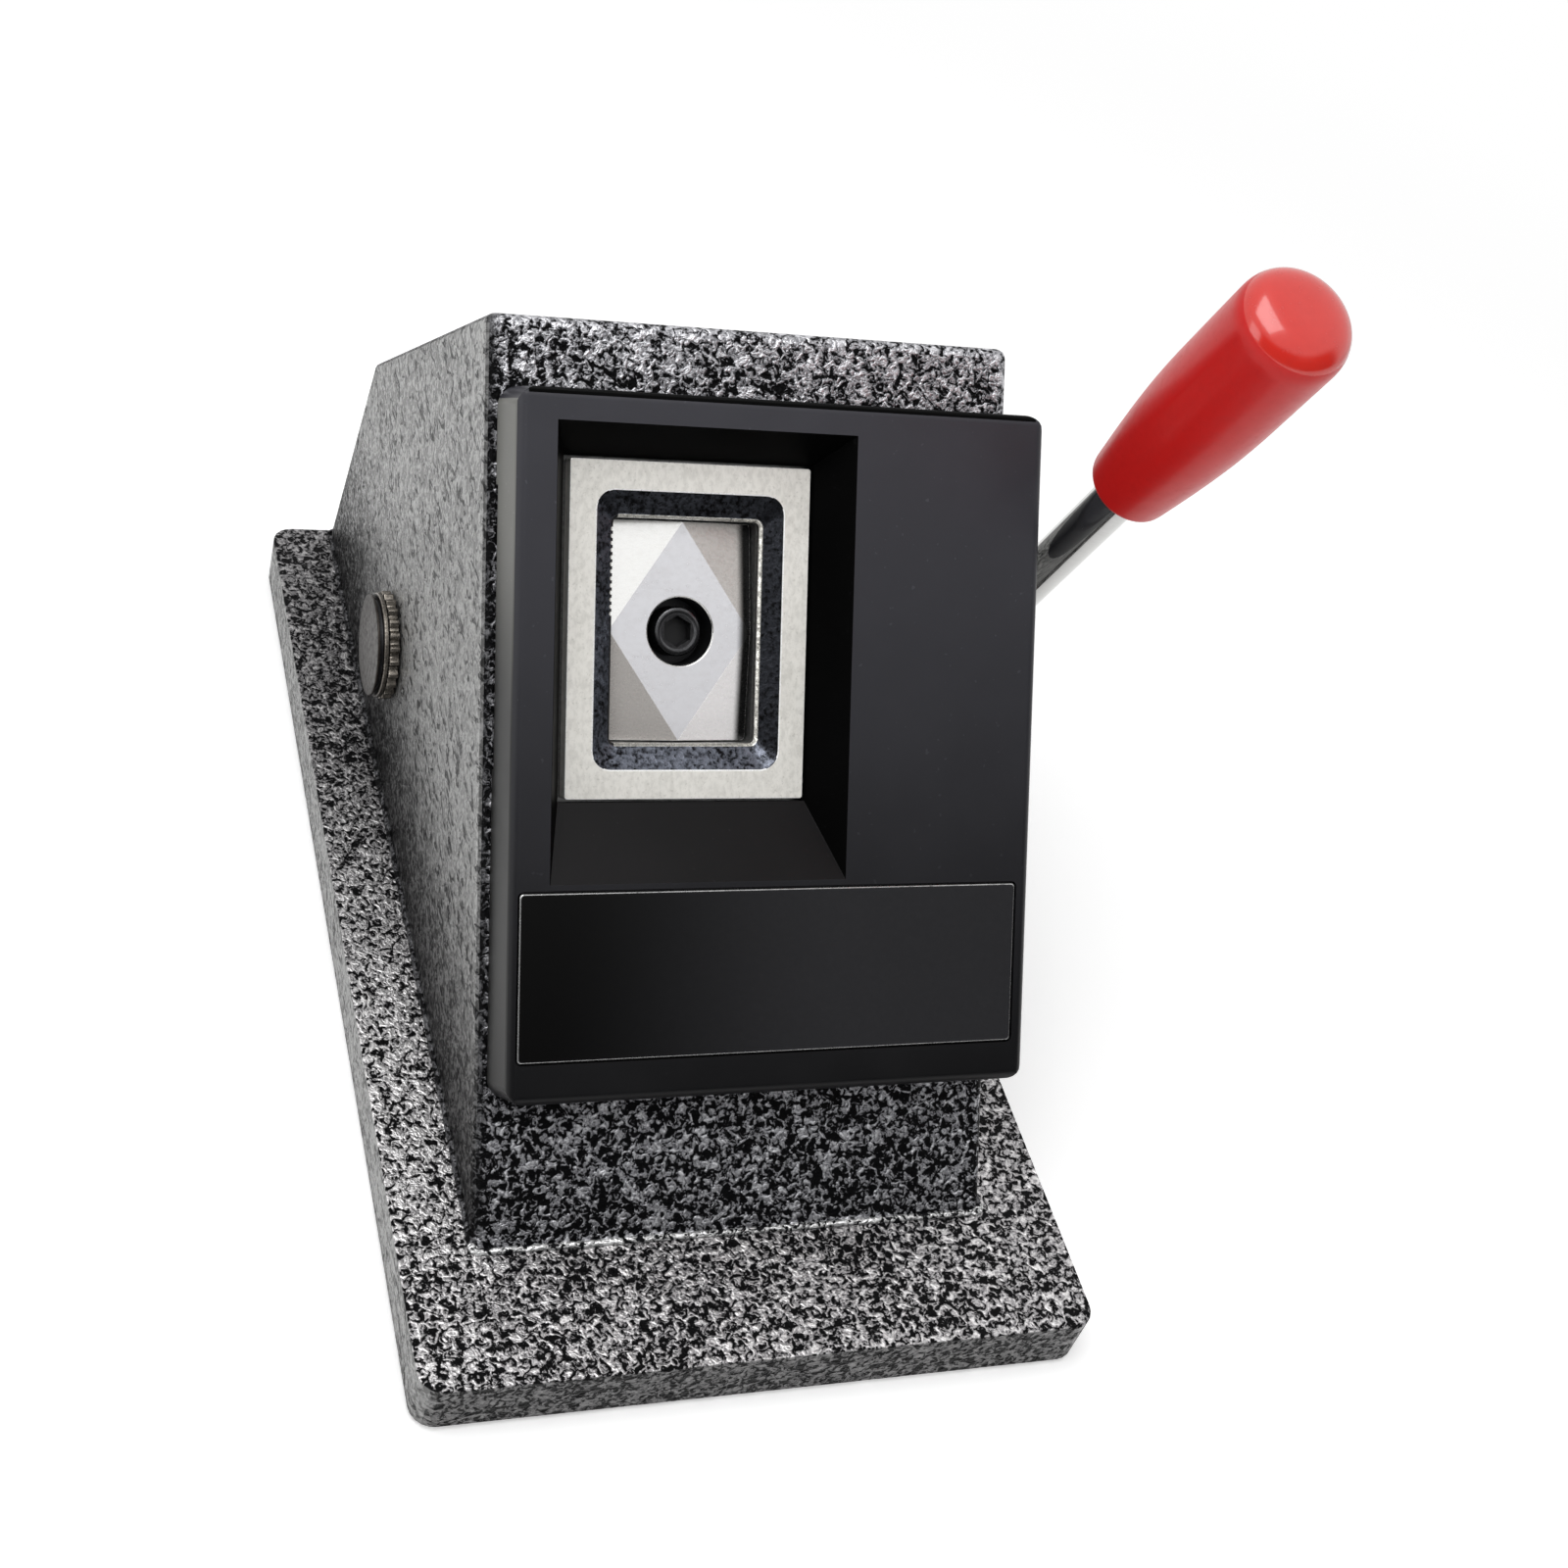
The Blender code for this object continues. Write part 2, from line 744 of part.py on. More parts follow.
def make_die():
    plate = box("die_plate", (die_width, die_height, die_thickness),
                (0, 0, print_slot + die_thickness / 2), window_frame, ground_steel)
    bevel(plate, die_edge_radius, 2)
    cut(plate, make_opening())
    for name, (x, y, z) in die_screw_places(0).items():
        cut(plate, cylinder(f"die_screw_hole_{name}", die_screw_radius + seat_gap,
                            2 * (die_screw_bite + seat_gap), (x, y, print_slot),
                            window_frame, sides=small_sides))
    head_top = guide_thickness - die_screw_head_height
    length = die_screw_head_height + head_top + print_slot + die_screw_bite
    blank = turned("die_screw_blank",
                   screw_profile(die_screw_head_radius, die_screw_head_height,
                                 die_screw_radius, length),
                   (0, 0, 0), window_frame, machine_steel, (math.pi, 0, 0), small_sides)
    repeated("die_screw", blank, die_screw_places(-guide_thickness))
    spacer_half = (print_slot - 2 * seat_gap) / 2
    bore = die_screw_radius + seat_gap
    ring = [(bore, spacer_half), (spacer_radius, spacer_half),
            (spacer_radius, -spacer_half), (bore, -spacer_half), (bore, spacer_half)]
    spacer = turned("spacer_blank", ring, (0, 0, 0), window_frame, machine_steel,
                    sides=small_sides)
    repeated("die_spacer", spacer, die_screw_places(print_slot / 2))


def make_opening():
    """Cutter for the opening: a straight land below and a flared window rim above."""
    land = rounded_rectangle(photo_width, photo_height, photo_corner_radius)
    spread = (window_flare_depth + cut_overrun) / window_flare_depth
    flare_width = photo_width + (window_rim_width - photo_width) * spread
    flare_height = photo_height + (window_rim_height - photo_height) * spread
    flare_radius = photo_corner_radius + (window_rim_radius - photo_corner_radius) * spread
    flared = rounded_rectangle(flare_width, flare_height, flare_radius)
    return loft("photo_opening", [(print_slot - cut_overrun, land),
                                  (die_top_rise - window_flare_depth, land),
                                  (die_top_rise + cut_overrun, flared)], window_frame)


# Punch, its screw and the ram

def make_punch():
    width = photo_width - 2 * running_gap
    height = photo_height - 2 * running_gap
    outline = rounded_rectangle(width, height, photo_corner_radius - running_gap)
    punch_centre = -punch_depth - punch_height / 2
    punch = prism("punch", outline, punch_height, (0, 0, punch_centre), window_frame,
                  punch_steel)
    half_width, half_height, top = width / 2, height / 2, punch_height / 2
    shape = bmesh.new()
    shape.from_mesh(punch.data)
    for side_x in (-1, 1):
        for side_y in (-1, 1):
            side_middle = Vector((side_x * half_width, 0, top))
            end_middle = Vector((0, side_y * half_height, top))
            corner = Vector((side_x * half_width, side_y * half_height,
                             top - punch_corner_drop))
            normal = (side_middle - corner).cross(end_middle - corner).normalized()
            if normal.z < 0:
                normal.negate()
            result = bmesh.ops.bisect_plane(
                shape, geom=shape.verts[:] + shape.edges[:] + shape.faces[:],
                plane_co=side_middle, plane_no=normal, clear_outer=True,
                dist=weld_distance)
            rim = [item for item in result["geom_cut"] if isinstance(item, bmesh.types.BMEdge)]
            bmesh.ops.contextual_create(shape, geom=rim)
    bmesh.ops.recalc_face_normals(shape, faces=shape.faces)
    shape.to_mesh(punch.data)
    shape.free()
    head_seat = punch_depth + punch_screw_sink + punch_screw_head_height + seat_gap
    cut(punch,
        cylinder("punch_counterbore", punch_counterbore_radius, 2 * head_seat,
                 (0, 0, 0), window_frame),
        cylinder("punch_clear_hole", punch_screw_radius + seat_gap, punch_height * 4,
                 (0, 0, 0), window_frame, sides=small_sides))
    screw = turned("punch_screw",
                   screw_profile(punch_screw_head_radius, punch_screw_head_height,
                                 punch_screw_radius, punch_screw_length),
                   (0, 0, -punch_depth - punch_screw_sink), window_frame, black_oxide)
    cut(screw, cylinder("punch_screw_socket", punch_screw_socket,
                        2 * punch_screw_socket_depth,
                        (0, 0, -punch_depth - punch_screw_sink), window_frame, sides=6))


def ram_front_w():
    return -punch_depth - punch_height - seat_gap


def eccentric_rest_w():
    return -shaft_depth - ram_stroke / 2


def yoke_front_w():
    return eccentric_rest_w() + eccentric_radius + running_gap + yoke_front_wall


def yoke_back_w():
    return eccentric_rest_w() - eccentric_radius - running_gap - yoke_back_wall


def make_ram():
    front = ram_front_w()
    neck_length = front - yoke_front_w() + cut_overrun
    yoke_length = yoke_front_w() - yoke_back_w()
    slot_height = 2 * (eccentric_radius + yoke_slot_play)
    ram = box("ram", (yoke_width, slot_height + 2 * yoke_side_wall, yoke_length),
              (0, 0, (yoke_front_w() + yoke_back_w()) / 2), window_frame, machine_steel)
    bevel(ram, yoke_edge_radius, 3)
    neck = box("ram_neck", (ram_width, ram_height, neck_length),
               (0, 0, front - neck_length / 2), window_frame)
    slot = box("yoke_slot", (yoke_width * 2, slot_height,
                             2 * (eccentric_radius + running_gap)),
               (0, 0, eccentric_rest_w()), window_frame)
    join(ram, neck)
    cut(ram, slot)
    groove_length = front - yoke_front_w()
    for side, name in ((-1, "ram_groove_left"), (1, "ram_groove_right")):
        cut(ram, box(name, (2 * ram_groove_depth, ram_groove_width, 2 * groove_length),
                     (side * ram_width / 2, 0, front), window_frame))
    screw_end = punch_depth + punch_screw_sink + punch_screw_length + seat_gap
    cut(ram, cylinder("ram_screw_hole", punch_screw_radius + seat_gap, 2 * screw_end,
                      (0, 0, 0), window_frame, sides=small_sides))


# Gibs, their screws, the spring pins and the return springs

def gib_centre_x():
    return ram_width / 2 + running_gap + gib_width / 2


def gib_rear_w():
    return -front_wall - seat_gap - gib_length


def gib_screw_places():
    return corner_places(gib_centre_x(), gib_screw_spacing / 2, gib_rear_w())


def make_gibs():
    tongue_reach = ram_groove_depth - 2 * running_gap
    tongue_width = ram_groove_width - 2 * running_gap
    tongue_rear = gib_rear_w() + gib_edge_radius
    tongue_front = ram_front_w() - gib_edge_radius
    middle_w = gib_rear_w() + gib_length / 2
    for side, name in ((-1, "left_gib"), (1, "right_gib")):
        gib = box(name, (gib_width, gib_height, gib_length),
                  (side * gib_centre_x(), 0, middle_w), window_frame, bronze)
        bevel(gib, gib_edge_radius, 2)
        tongue = box(name + "_tongue", (2 * tongue_reach, tongue_width,
                                        tongue_front - tongue_rear),
                     (side * (gib_centre_x() - gib_width / 2), 0,
                      (tongue_front + tongue_rear) / 2), window_frame)
        join(gib, tongue)
        for half, row in ((-1, "lower"), (1, "upper")):
            x, y = side * gib_centre_x(), half * gib_screw_spacing / 2
            cut(gib,
                cylinder(f"{name}_{row}_hole", gib_screw_radius + seat_gap,
                         gib_length * 2, (x, y, middle_w), window_frame, sides=small_sides),
                cylinder(f"{name}_{row}_head", gib_screw_head_radius + seat_gap,
                         2 * (gib_screw_head_height + seat_gap), (x, y, gib_rear_w()),
                         window_frame, sides=small_sides))
        cut(gib, cylinder(f"{name}_pin_hole", spring_pin_radius + seat_gap,
                          2 * (spring_pin_grip + seat_gap),
                          (side * gib_centre_x(), 0, gib_rear_w()), window_frame,
                          sides=small_sides))
    length = gib_length + gib_screw_bite + seat_gap
    blank = turned("gib_screw_blank",
                   screw_profile(gib_screw_head_radius, gib_screw_head_height,
                                 gib_screw_radius, length),
                   (0, 0, 0), window_frame, machine_steel, (math.pi, 0, 0), small_sides)
    repeated("gib_screw", blank, gib_screw_places())
    pin_length = spring_pin_grip + spring_pin_reach
    pin = turned("spring_pin_blank",
                 [(0, spring_pin_grip), (spring_pin_radius, spring_pin_grip),
                  (spring_pin_radius, spring_pin_grip - pin_length),
                  (0, spring_pin_grip - pin_length)],
                 (0, 0, 0), window_frame, machine_steel, sides=small_sides)
    repeated("spring_pin", pin, both_sides(gib_centre_x(), 0, gib_rear_w()))


def spring_points(low_w, high_w):
    """A compression spring with closed end turns, along w."""
    total = spring_turns * spring_points_per_turn
    length = high_w - low_w
    open_turns = spring_turns - 2
    open_pitch = (length - 2 * spring_closed_pitch) / open_turns
    points = []
    for step in range(total + 1):
        turn = step / spring_points_per_turn
        closed_start = min(turn, 1)
        closed_end = max(0, turn - (spring_turns - 1))
        middle = turn - closed_start - closed_end
        height = (closed_start + closed_end) * spring_closed_pitch + middle * open_pitch
        angle = 2 * math.pi * turn
        points.append((spring_mean_radius * math.cos(angle),
                       spring_mean_radius * math.sin(angle), low_w + height))
    return points


def least_turn_gap(points):
    """Least clear distance between wires of neighbouring turns."""
    least = None
    for index, point in enumerate(points):
        for other in points[index + spring_points_per_turn - 2:]:
            clear = (Vector(point) - Vector(other)).length - 2 * spring_wire_radius
            least = clear if least is None else min(least, clear)
    return least


def make_springs():
    low_w = yoke_front_w() + seat_gap + spring_wire_radius
    high_w = gib_rear_w() - seat_gap - spring_wire_radius
    points = spring_points(low_w, high_w)
    print("return spring, least gap between turns in mm:", least_turn_gap(points) * 1000)
    for side, name in ((-1, "left_return_spring"), (1, "right_return_spring")):
        tube(name, points, spring_wire_radius, 1, (side * gib_centre_x(), 0, 0),
             window_frame, spring_steel)


# Cross shaft, bushes, eccentric and left end

def eccentric_angle():
    """Angle of the eccentric's centre about +X, from +Y, with the lever at rest."""
    return math.pi / 2 - face_tilt - half_travel


def make_shaft():
    across = (0, math.pi / 2, 0)
    left = body_left - wall_clearance - washer_thickness
    right = hub_outer_x()
    chamfer = shaft_end_chamfer
    profile = [(0, right), (shaft_radius - chamfer, right), (shaft_radius, right - chamfer),
               (shaft_radius, left + chamfer), (shaft_radius - chamfer, left), (0, left)]
    shaft = turned("cross_shaft", profile, (0, 0, 0), lever_axis, machine_steel, across)
    stud_depth = cap_stud_length + seat_gap
    key_seat = key_height / 2 + seat_gap
    turn = eccentric_angle()
    key_place = (window_x, shaft_radius * math.cos(turn), shaft_radius * math.sin(turn))
    cut(shaft,
        cylinder("shaft_stud_hole", cap_stud_radius + seat_gap, 2 * stud_depth,
                 (left, 0, 0), lever_axis, None, across, small_sides),
        box("shaft_key_seat", (key_length + 2 * seat_gap, 2 * key_seat,
                               key_width + 2 * seat_gap),
            key_place, lever_axis, None, (turn, 0, 0)),
        hub_pin_cutter("shaft_pin_hole"))


def make_bushes():
    across = (0, math.pi / 2, 0)
    bore = shaft_radius + running_gap
    inner_end = -side_wall - seat_gap
    flange_end = inner_end - bush_flange_thickness
    profile = [(bore, 0), (bush_outer_radius, 0), (bush_outer_radius, inner_end),
               (bush_flange_radius, inner_end), (bush_flange_radius, flange_end),
               (bore, flange_end), (bore, 0)]
    turned("right_bush", profile, (body_right, 0, 0), lever_axis, bronze, across)
    turned("left_bush", profile, (body_left, 0, 0), lever_axis, bronze,
           (0, -math.pi / 2, 0))


def make_eccentric():
    across = (0, math.pi / 2, 0)
    turn = eccentric_angle()
    centre = (window_x, eccentric_throw * math.cos(turn), eccentric_throw * math.sin(turn))
    disc = cylinder("eccentric", eccentric_radius, eccentric_width, centre, lever_axis,
                    machine_steel, across, 48)
    key_place = (window_x, shaft_radius * math.cos(turn), shaft_radius * math.sin(turn))
    cut(disc,
        cylinder("eccentric_bore", shaft_radius + seat_gap, eccentric_width * 2,
                 (window_x, 0, 0), lever_axis, None, across),
        box("eccentric_key_way", (eccentric_width * 2, key_height + 2 * seat_gap,
                                  key_width + 2 * seat_gap),
            key_place, lever_axis, None, (turn, 0, 0)))
    box("eccentric_key", (key_length, key_height, key_width), key_place, lever_axis,
        machine_steel, (turn, 0, 0))


def make_shaft_end():
    """The disc on the shaft's left end and the toothed washer behind it."""
    outwards = (0, -math.pi / 2, 0)
    washer_x = body_left - wall_clearance - washer_thickness / 2
    outline = []
    for index in range(2 * washer_teeth):
        radius = washer_radius if index % 2 else washer_radius - washer_tooth_depth
        for edge in (-1, 1):
            angle = math.pi * (index + edge * washer_tooth_land_share) / washer_teeth
            outline.append((radius * math.cos(angle), radius * math.sin(angle)))
    washer = prism("lock_washer", outline, washer_thickness, (washer_x, 0, 0), lever_axis,
                   zinc_steel, outwards)
    cut(washer, cylinder("washer_bore", shaft_radius + seat_gap, washer_thickness * 4,
                         (washer_x, 0, 0), lever_axis, None, outwards))
    foot = wall_clearance + washer_thickness + seat_gap
    collar_top = foot + cap_collar_thickness
    face_foot = collar_top + cap_groove_width
    face_top = face_foot + cap_face_thickness
    face_edge = cap_face_radius - cap_edge
    profile = [(0, face_top + cap_dome)]
    for step in range(1, cap_dome_steps + 1):
        share = step / cap_dome_steps
        profile.append((face_edge * share, face_top + cap_dome * (1 - share ** 2)))
    profile += [(cap_face_radius, face_top - cap_edge), (cap_face_radius, face_foot),
                (cap_groove_radius, face_foot), (cap_groove_radius, collar_top),
                (cap_collar_radius - cap_edge, collar_top),
                (cap_collar_radius, collar_top - cap_edge), (cap_collar_radius, foot),
                (cap_stud_radius, foot), (cap_stud_radius, foot - cap_stud_length),
                (0, foot - cap_stud_length)]
    turned("shaft_cap", profile, (body_left, 0, 0), lever_axis, zinc_steel, outwards)


# Lever hub, stop pin, rod and grip

def hub_inner_x():
    return body_right + hub_wall_clearance


def hub_outer_x():
    return hub_x + hub_outer_margin


def hub_pin_cutter(name):
    half_length = hub_boss_radius * 2
    return cylinder(name, hub_pin_radius + seat_gap, half_length * 2, (hub_x, 0, 0),
                    lever_axis, None, (rod_lower_lean + math.pi / 2, 0, 0), small_sides)


def arc_slot_outline(circle, half_width, start, end, steps=10):
    """A slot of even width bent round an arc, with round ends."""
    outline = []
    for step in range(steps + 1):
        angle = start + (end - start) * step / steps
        outline.append(((circle + half_width) * math.cos(angle),
                        (circle + half_width) * math.sin(angle)))
    for step in range(1, steps):
        turn = end + math.pi * step / steps
        outline.append((circle * math.cos(end) + half_width * math.cos(turn),
                        circle * math.sin(end) + half_width * math.sin(turn)))
    for step in range(steps + 1):
        angle = end + (start - end) * step / steps
        outline.append(((circle - half_width) * math.cos(angle),
                        (circle - half_width) * math.sin(angle)))
    for step in range(1, steps):
        turn = start + math.pi + math.pi * step / steps
        outline.append((circle * math.cos(start) + half_width * math.cos(turn),
                        circle * math.sin(start) + half_width * math.sin(turn)))
    return outline


def make_hub():
    across = (0, math.pi / 2, 0)
    low, step, high = hub_inner_x(), hub_inner_x() + hub_flange_thickness, hub_outer_x()
    edge = hub_edge_radius
    profile = [(0, high), (hub_boss_radius - edge, high), (hub_boss_radius, high - edge),
               (hub_boss_radius, step), (hub_flange_radius - edge, step),
               (hub_flange_radius, step - edge), (hub_flange_radius, low), (0, low)]
    hub = turned("lever_hub", profile, (0, 0, 0), lever_axis, black_oxide, across)
    along = Vector((0, -math.sin(rod_lower_lean), math.cos(rod_lower_lean)))
    socket_middle = along * (hub_socket_reach / 2)
    join(hub, cylinder("hub_socket", hub_socket_radius, hub_socket_reach,
                       (hub_x, socket_middle.y, socket_middle.z), lever_axis, None,
                       (rod_lower_lean, 0, 0)))
    rod_end = along * (rod_start - seat_gap + hub_socket_reach / 2)
    slot_margin = seat_gap / stop_pin_circle
    slot = prism("stop_slot",
                 arc_slot_outline(stop_pin_circle, stop_pin_radius + seat_gap,
                                  stop_pin_angle - lever_travel - slot_margin,
                                  stop_pin_angle + slot_margin),
                 hub_flange_thickness * 2, (low + hub_flange_thickness / 2, 0, 0),
                 lever_axis, None, (math.pi / 2, 0, math.pi / 2))
    cut(hub,
        cylinder("hub_bore", shaft_radius + seat_gap, 4 * (high - low),
                 (high, 0, 0), lever_axis, None, across),
        cylinder("hub_rod_hole", rod_radius + seat_gap, hub_socket_reach,
                 (hub_x, rod_end.y, rod_end.z), lever_axis, None, (rod_lower_lean, 0, 0)),
        slot, hub_pin_cutter("hub_pin_hole"))
    pin_length = 2 * (hub_boss_radius - edge)
    cylinder("hub_pin", hub_pin_radius, pin_length, (hub_x, 0, 0), lever_axis,
             machine_steel, (rod_lower_lean + math.pi / 2, 0, 0), small_sides)
    reach = stop_pin_grip + hub_wall_clearance + hub_flange_thickness - edge
    cylinder("stop_pin", stop_pin_radius, reach,
             stop_pin_place(body_right - stop_pin_grip + reach / 2), lever_axis,
             machine_steel, across, small_sides)


def lean_direction(lean):
    return Vector((0, -math.sin(lean), math.cos(lean)))


def make_lever():
    """The bent rod, from the hub's socket to the middle of the grip, and the grip."""
    lower, upper = lean_direction(rod_lower_lean), lean_direction(rod_upper_lean)
    bend = rod_lower_lean - rod_upper_lean
    tangent = rod_bend_radius * math.tan(bend / 2)
    corner = lower * rod_bend_distance
    arc_start = corner - lower * tangent
    inner = Vector((0, math.cos(rod_lower_lean), math.sin(rod_lower_lean)))
    centre = arc_start + inner * rod_bend_radius
    points = [lower * rod_start]
    for step in range(rod_bend_steps + 1):
        lean = rod_lower_lean - bend * step / rod_bend_steps
        outward = Vector((0, -math.cos(lean), -math.sin(lean)))
        points.append(centre + outward * rod_bend_radius)
    points.append(corner + upper * (grip_start + grip_bore_depth - seat_gap))
    tube("lever_rod", points, rod_radius, rod_tip_sides, (hub_x, 0, 0), lever_axis, chrome)
    foot = corner + upper * grip_start
    turned("lever_grip", grip_profile(), (hub_x, foot.y, foot.z), lever_axis, red_grip,
           (rod_upper_lean, 0, 0), 40)


def grip_profile():
    """From the domed end down the outside to the mouth, then up the bore."""
    rim = grip_full_radius - grip_end_fillet
    rim_height = grip_length - grip_end_dome - grip_end_fillet
    profile = [(0, grip_length)]
    for step in range(1, grip_dome_steps):
        share = step / grip_dome_steps
        profile.append((rim * share, grip_length - grip_end_dome * share ** 2))
    for step in range(grip_fillet_steps + 1):
        angle = math.pi / 2 * (1 - step / grip_fillet_steps)
        profile.append((rim + grip_end_fillet * math.cos(angle),
                        rim_height + grip_end_fillet * math.sin(angle)))
    shoulder = grip_length * grip_shoulder_share
    mouth = grip_mouth_radius
    swell = grip_full_radius - mouth
    for step in range(1, grip_taper_steps + 1):
        share = step / grip_taper_steps
        eased = 1 - math.cos(share * math.pi / 2)
        height = shoulder + (grip_mouth_fillet - shoulder) * share
        profile.append((grip_full_radius - swell * eased, height))
    bore = rod_radius + seat_gap
    profile += [(mouth - grip_mouth_fillet, 0), (bore, 0), (bore, grip_bore_depth),
                (0, grip_bore_depth)]
    return profile


# Front cover and label plate

def cover_screw_places(height):
    return {"left": (label_left + cover_screw_inset, label_centre_s, height),
            "right": (label_right - cover_screw_inset, label_centre_s, height)}


def recess_outline(w, grow=0):
    """The sloped recess at height w as a rectangle, grown all round by a wall."""
    share = (w - tub_floor_rise) / (cover_rise - tub_floor_rise)
    floor = (die_width / 2 + tub_left_gap, die_width / 2 + tub_gap,
             die_height / 2 + tub_gap, die_height / 2 + tub_gap)
    rim = (rim_left, rim_right, rim_below, rim_above)
    left, right, below, above = [low + (high - low) * share + grow
                                 for low, high in zip(floor, rim)]
    return rectangle(-left, right, -below, above)


def make_cover():
    cover_top_s = cover_bottom_s + cover_height
    foot = rectangle(cover_left - cover_draft, cover_right + cover_draft,
                     cover_bottom_s - cover_draft, cover_top_s + cover_draft)
    front = rectangle(cover_left, cover_right, cover_bottom_s, cover_top_s)
    cover = loft("front_cover", [(seat_gap, foot), (cover_rise, front)], face_frame,
                 black_moulding)
    round_edges_above(cover, seat_gap + cover_edge_radius, cover_edge_radius, 4)
    hollow_rise = cover_rise - cover_wall
    inside = rectangle(cover_left + cover_wall, cover_right - cover_wall,
                       cover_bottom_s + cover_wall, cover_top_s - cover_wall)
    cavity = loft("cover_cavity", [(-cut_overrun, inside), (hollow_rise, inside)], face_frame)
    tub_top = hollow_rise + cover_wall / 2
    tub = loft("tub_walls", [(tub_lip_rise, recess_outline(tub_lip_rise, tub_wall)),
                             (tub_top, recess_outline(tub_top, tub_wall))], window_frame)
    floor = recess_outline(tub_floor_rise)
    mouth_rise = cover_rise + cut_overrun
    recess = loft("cover_recess", [(0, floor), (tub_floor_rise, floor),
                                   (mouth_rise, recess_outline(mouth_rise))], window_frame)
    cut(cover, cavity)
    join(cover, tub)
    boss_height = tub_top - seat_gap
    for name, (x, s, w) in cover_screw_places(0).items():
        join(cover, cylinder(f"cover_boss_{name}", cover_boss_radius, boss_height,
                             (x, s, seat_gap + boss_height / 2), face_frame))
    cut(cover, recess)
    pocket_depth = label_thickness + seat_gap
    pocket_radius = label_corner_radius + label_groove
    pocket = prism("label_pocket",
                   rounded_rectangle(label_right - label_left + 2 * label_groove,
                                     label_height + 2 * label_groove, pocket_radius),
                   2 * pocket_depth, ((label_left + label_right) / 2, label_centre_s,
                                      cover_rise), face_frame)
    cut(cover, pocket)
    pocket_floor = cover_rise - pocket_depth
    for name, (x, s, w) in cover_screw_places(0).items():
        cut(cover,
            cylinder(f"cover_clear_hole_{name}", cover_screw_radius + seat_gap,
                     4 * cover_rise, (x, s, 0), face_frame, sides=small_sides),
            countersink(f"cover_sink_{name}", cover_screw_head_radius,
                        cover_screw_head_height, cover_screw_radius,
                        (x, s, pocket_floor), face_frame))
    mouth_length = die_height - 2 * (die_screw_inset + spacer_radius)
    cut(cover, box("print_mouth", (4 * cover_wall, mouth_length, 2 * slot_mouth),
                   (cover_left, window_s, 0), face_frame))
    smooth(cover)
    blank = turned("cover_screw_blank",
                   countersunk_profile(cover_screw_head_radius, cover_screw_head_height,
                                       cover_screw_radius, cover_screw_length),
                   (0, 0, 0), face_frame, zinc_steel, sides=small_sides)
    repeated("cover_screw", blank, cover_screw_places(pocket_floor - seat_gap))


def make_label():
    outline = rounded_rectangle(label_right - label_left, label_height, label_corner_radius)
    prism("label_plate", outline, label_thickness,
          ((label_left + label_right) / 2, label_centre_s, cover_rise - label_thickness / 2),
          face_frame, gloss_label)


make_base()
make_body()
make_guide_plate()
make_die()
make_punch()
make_ram()
make_gibs()
make_springs()
make_shaft()
make_bushes()
make_eccentric()
make_shaft_end()
make_hub()
make_lever()
make_cover()
make_label()
print("ram stroke in mm:", ram_stroke * 1000)
print("ram metres per radian of lever:", ram_stroke / lever_travel)
print("lever axis in metres:", tuple(face_to_world(0, shaft_s, -shaft_depth)))
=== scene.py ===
import bpy
from math import radians, sin, cos, tan, pi
from mathutils import Matrix, Vector


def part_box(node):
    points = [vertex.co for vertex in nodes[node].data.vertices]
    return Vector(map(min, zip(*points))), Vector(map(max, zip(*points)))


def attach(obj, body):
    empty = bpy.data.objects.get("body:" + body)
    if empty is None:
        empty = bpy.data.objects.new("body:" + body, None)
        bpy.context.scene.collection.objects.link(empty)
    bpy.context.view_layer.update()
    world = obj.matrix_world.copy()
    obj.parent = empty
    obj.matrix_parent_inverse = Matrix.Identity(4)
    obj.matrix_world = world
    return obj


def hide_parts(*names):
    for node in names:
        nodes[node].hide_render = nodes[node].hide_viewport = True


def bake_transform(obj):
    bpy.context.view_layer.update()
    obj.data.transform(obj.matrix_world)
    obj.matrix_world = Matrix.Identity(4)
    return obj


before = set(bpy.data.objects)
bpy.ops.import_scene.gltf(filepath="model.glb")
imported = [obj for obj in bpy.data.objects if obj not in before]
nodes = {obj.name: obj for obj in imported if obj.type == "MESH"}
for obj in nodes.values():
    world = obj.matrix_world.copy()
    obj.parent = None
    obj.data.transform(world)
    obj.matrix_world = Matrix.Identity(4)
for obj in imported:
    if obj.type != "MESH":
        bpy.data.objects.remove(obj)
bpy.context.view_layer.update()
print("frame loaded:", len(nodes), "nodes")


# small helpers for colours, selecting and finishing

def hexColour(text):
    values = [int(text[i:i + 2], 16) / 255 for i in (1, 3, 5)]
    linear = [v / 12.92 if v <= 0.04045 else ((v + 0.055) / 1.055) ** 2.4 for v in values]
    return (*linear, 1.0)


def deselectAll():
    if bpy.context.object and bpy.context.object.mode != "OBJECT":
        bpy.ops.object.mode_set(mode="OBJECT")
    bpy.ops.object.select_all(action="DESELECT")


def pickOnly(piece):
    deselectAll()
    piece.select_set(True)
    bpy.context.view_layer.objects.active = piece


def editAll(piece):
    # leaves the piece in edit mode with everything chosen
    pickOnly(piece)
    bpy.ops.object.mode_set(mode="EDIT")
    bpy.ops.mesh.select_all(action="SELECT")


def editEdges(piece, test):
    # leaves the piece in edit mode with the edges chosen by their two ends
    pickOnly(piece)
    bpy.ops.object.mode_set(mode="EDIT")
    bpy.ops.mesh.select_mode(type="EDGE")
    bpy.ops.mesh.select_all(action="DESELECT")
    bpy.ops.object.mode_set(mode="OBJECT")
    points = [v.co for v in piece.data.vertices]
    for edge in piece.data.edges:
        edge.select = test(points[edge.vertices[0]], points[edge.vertices[1]])
    bpy.ops.object.mode_set(mode="EDIT")


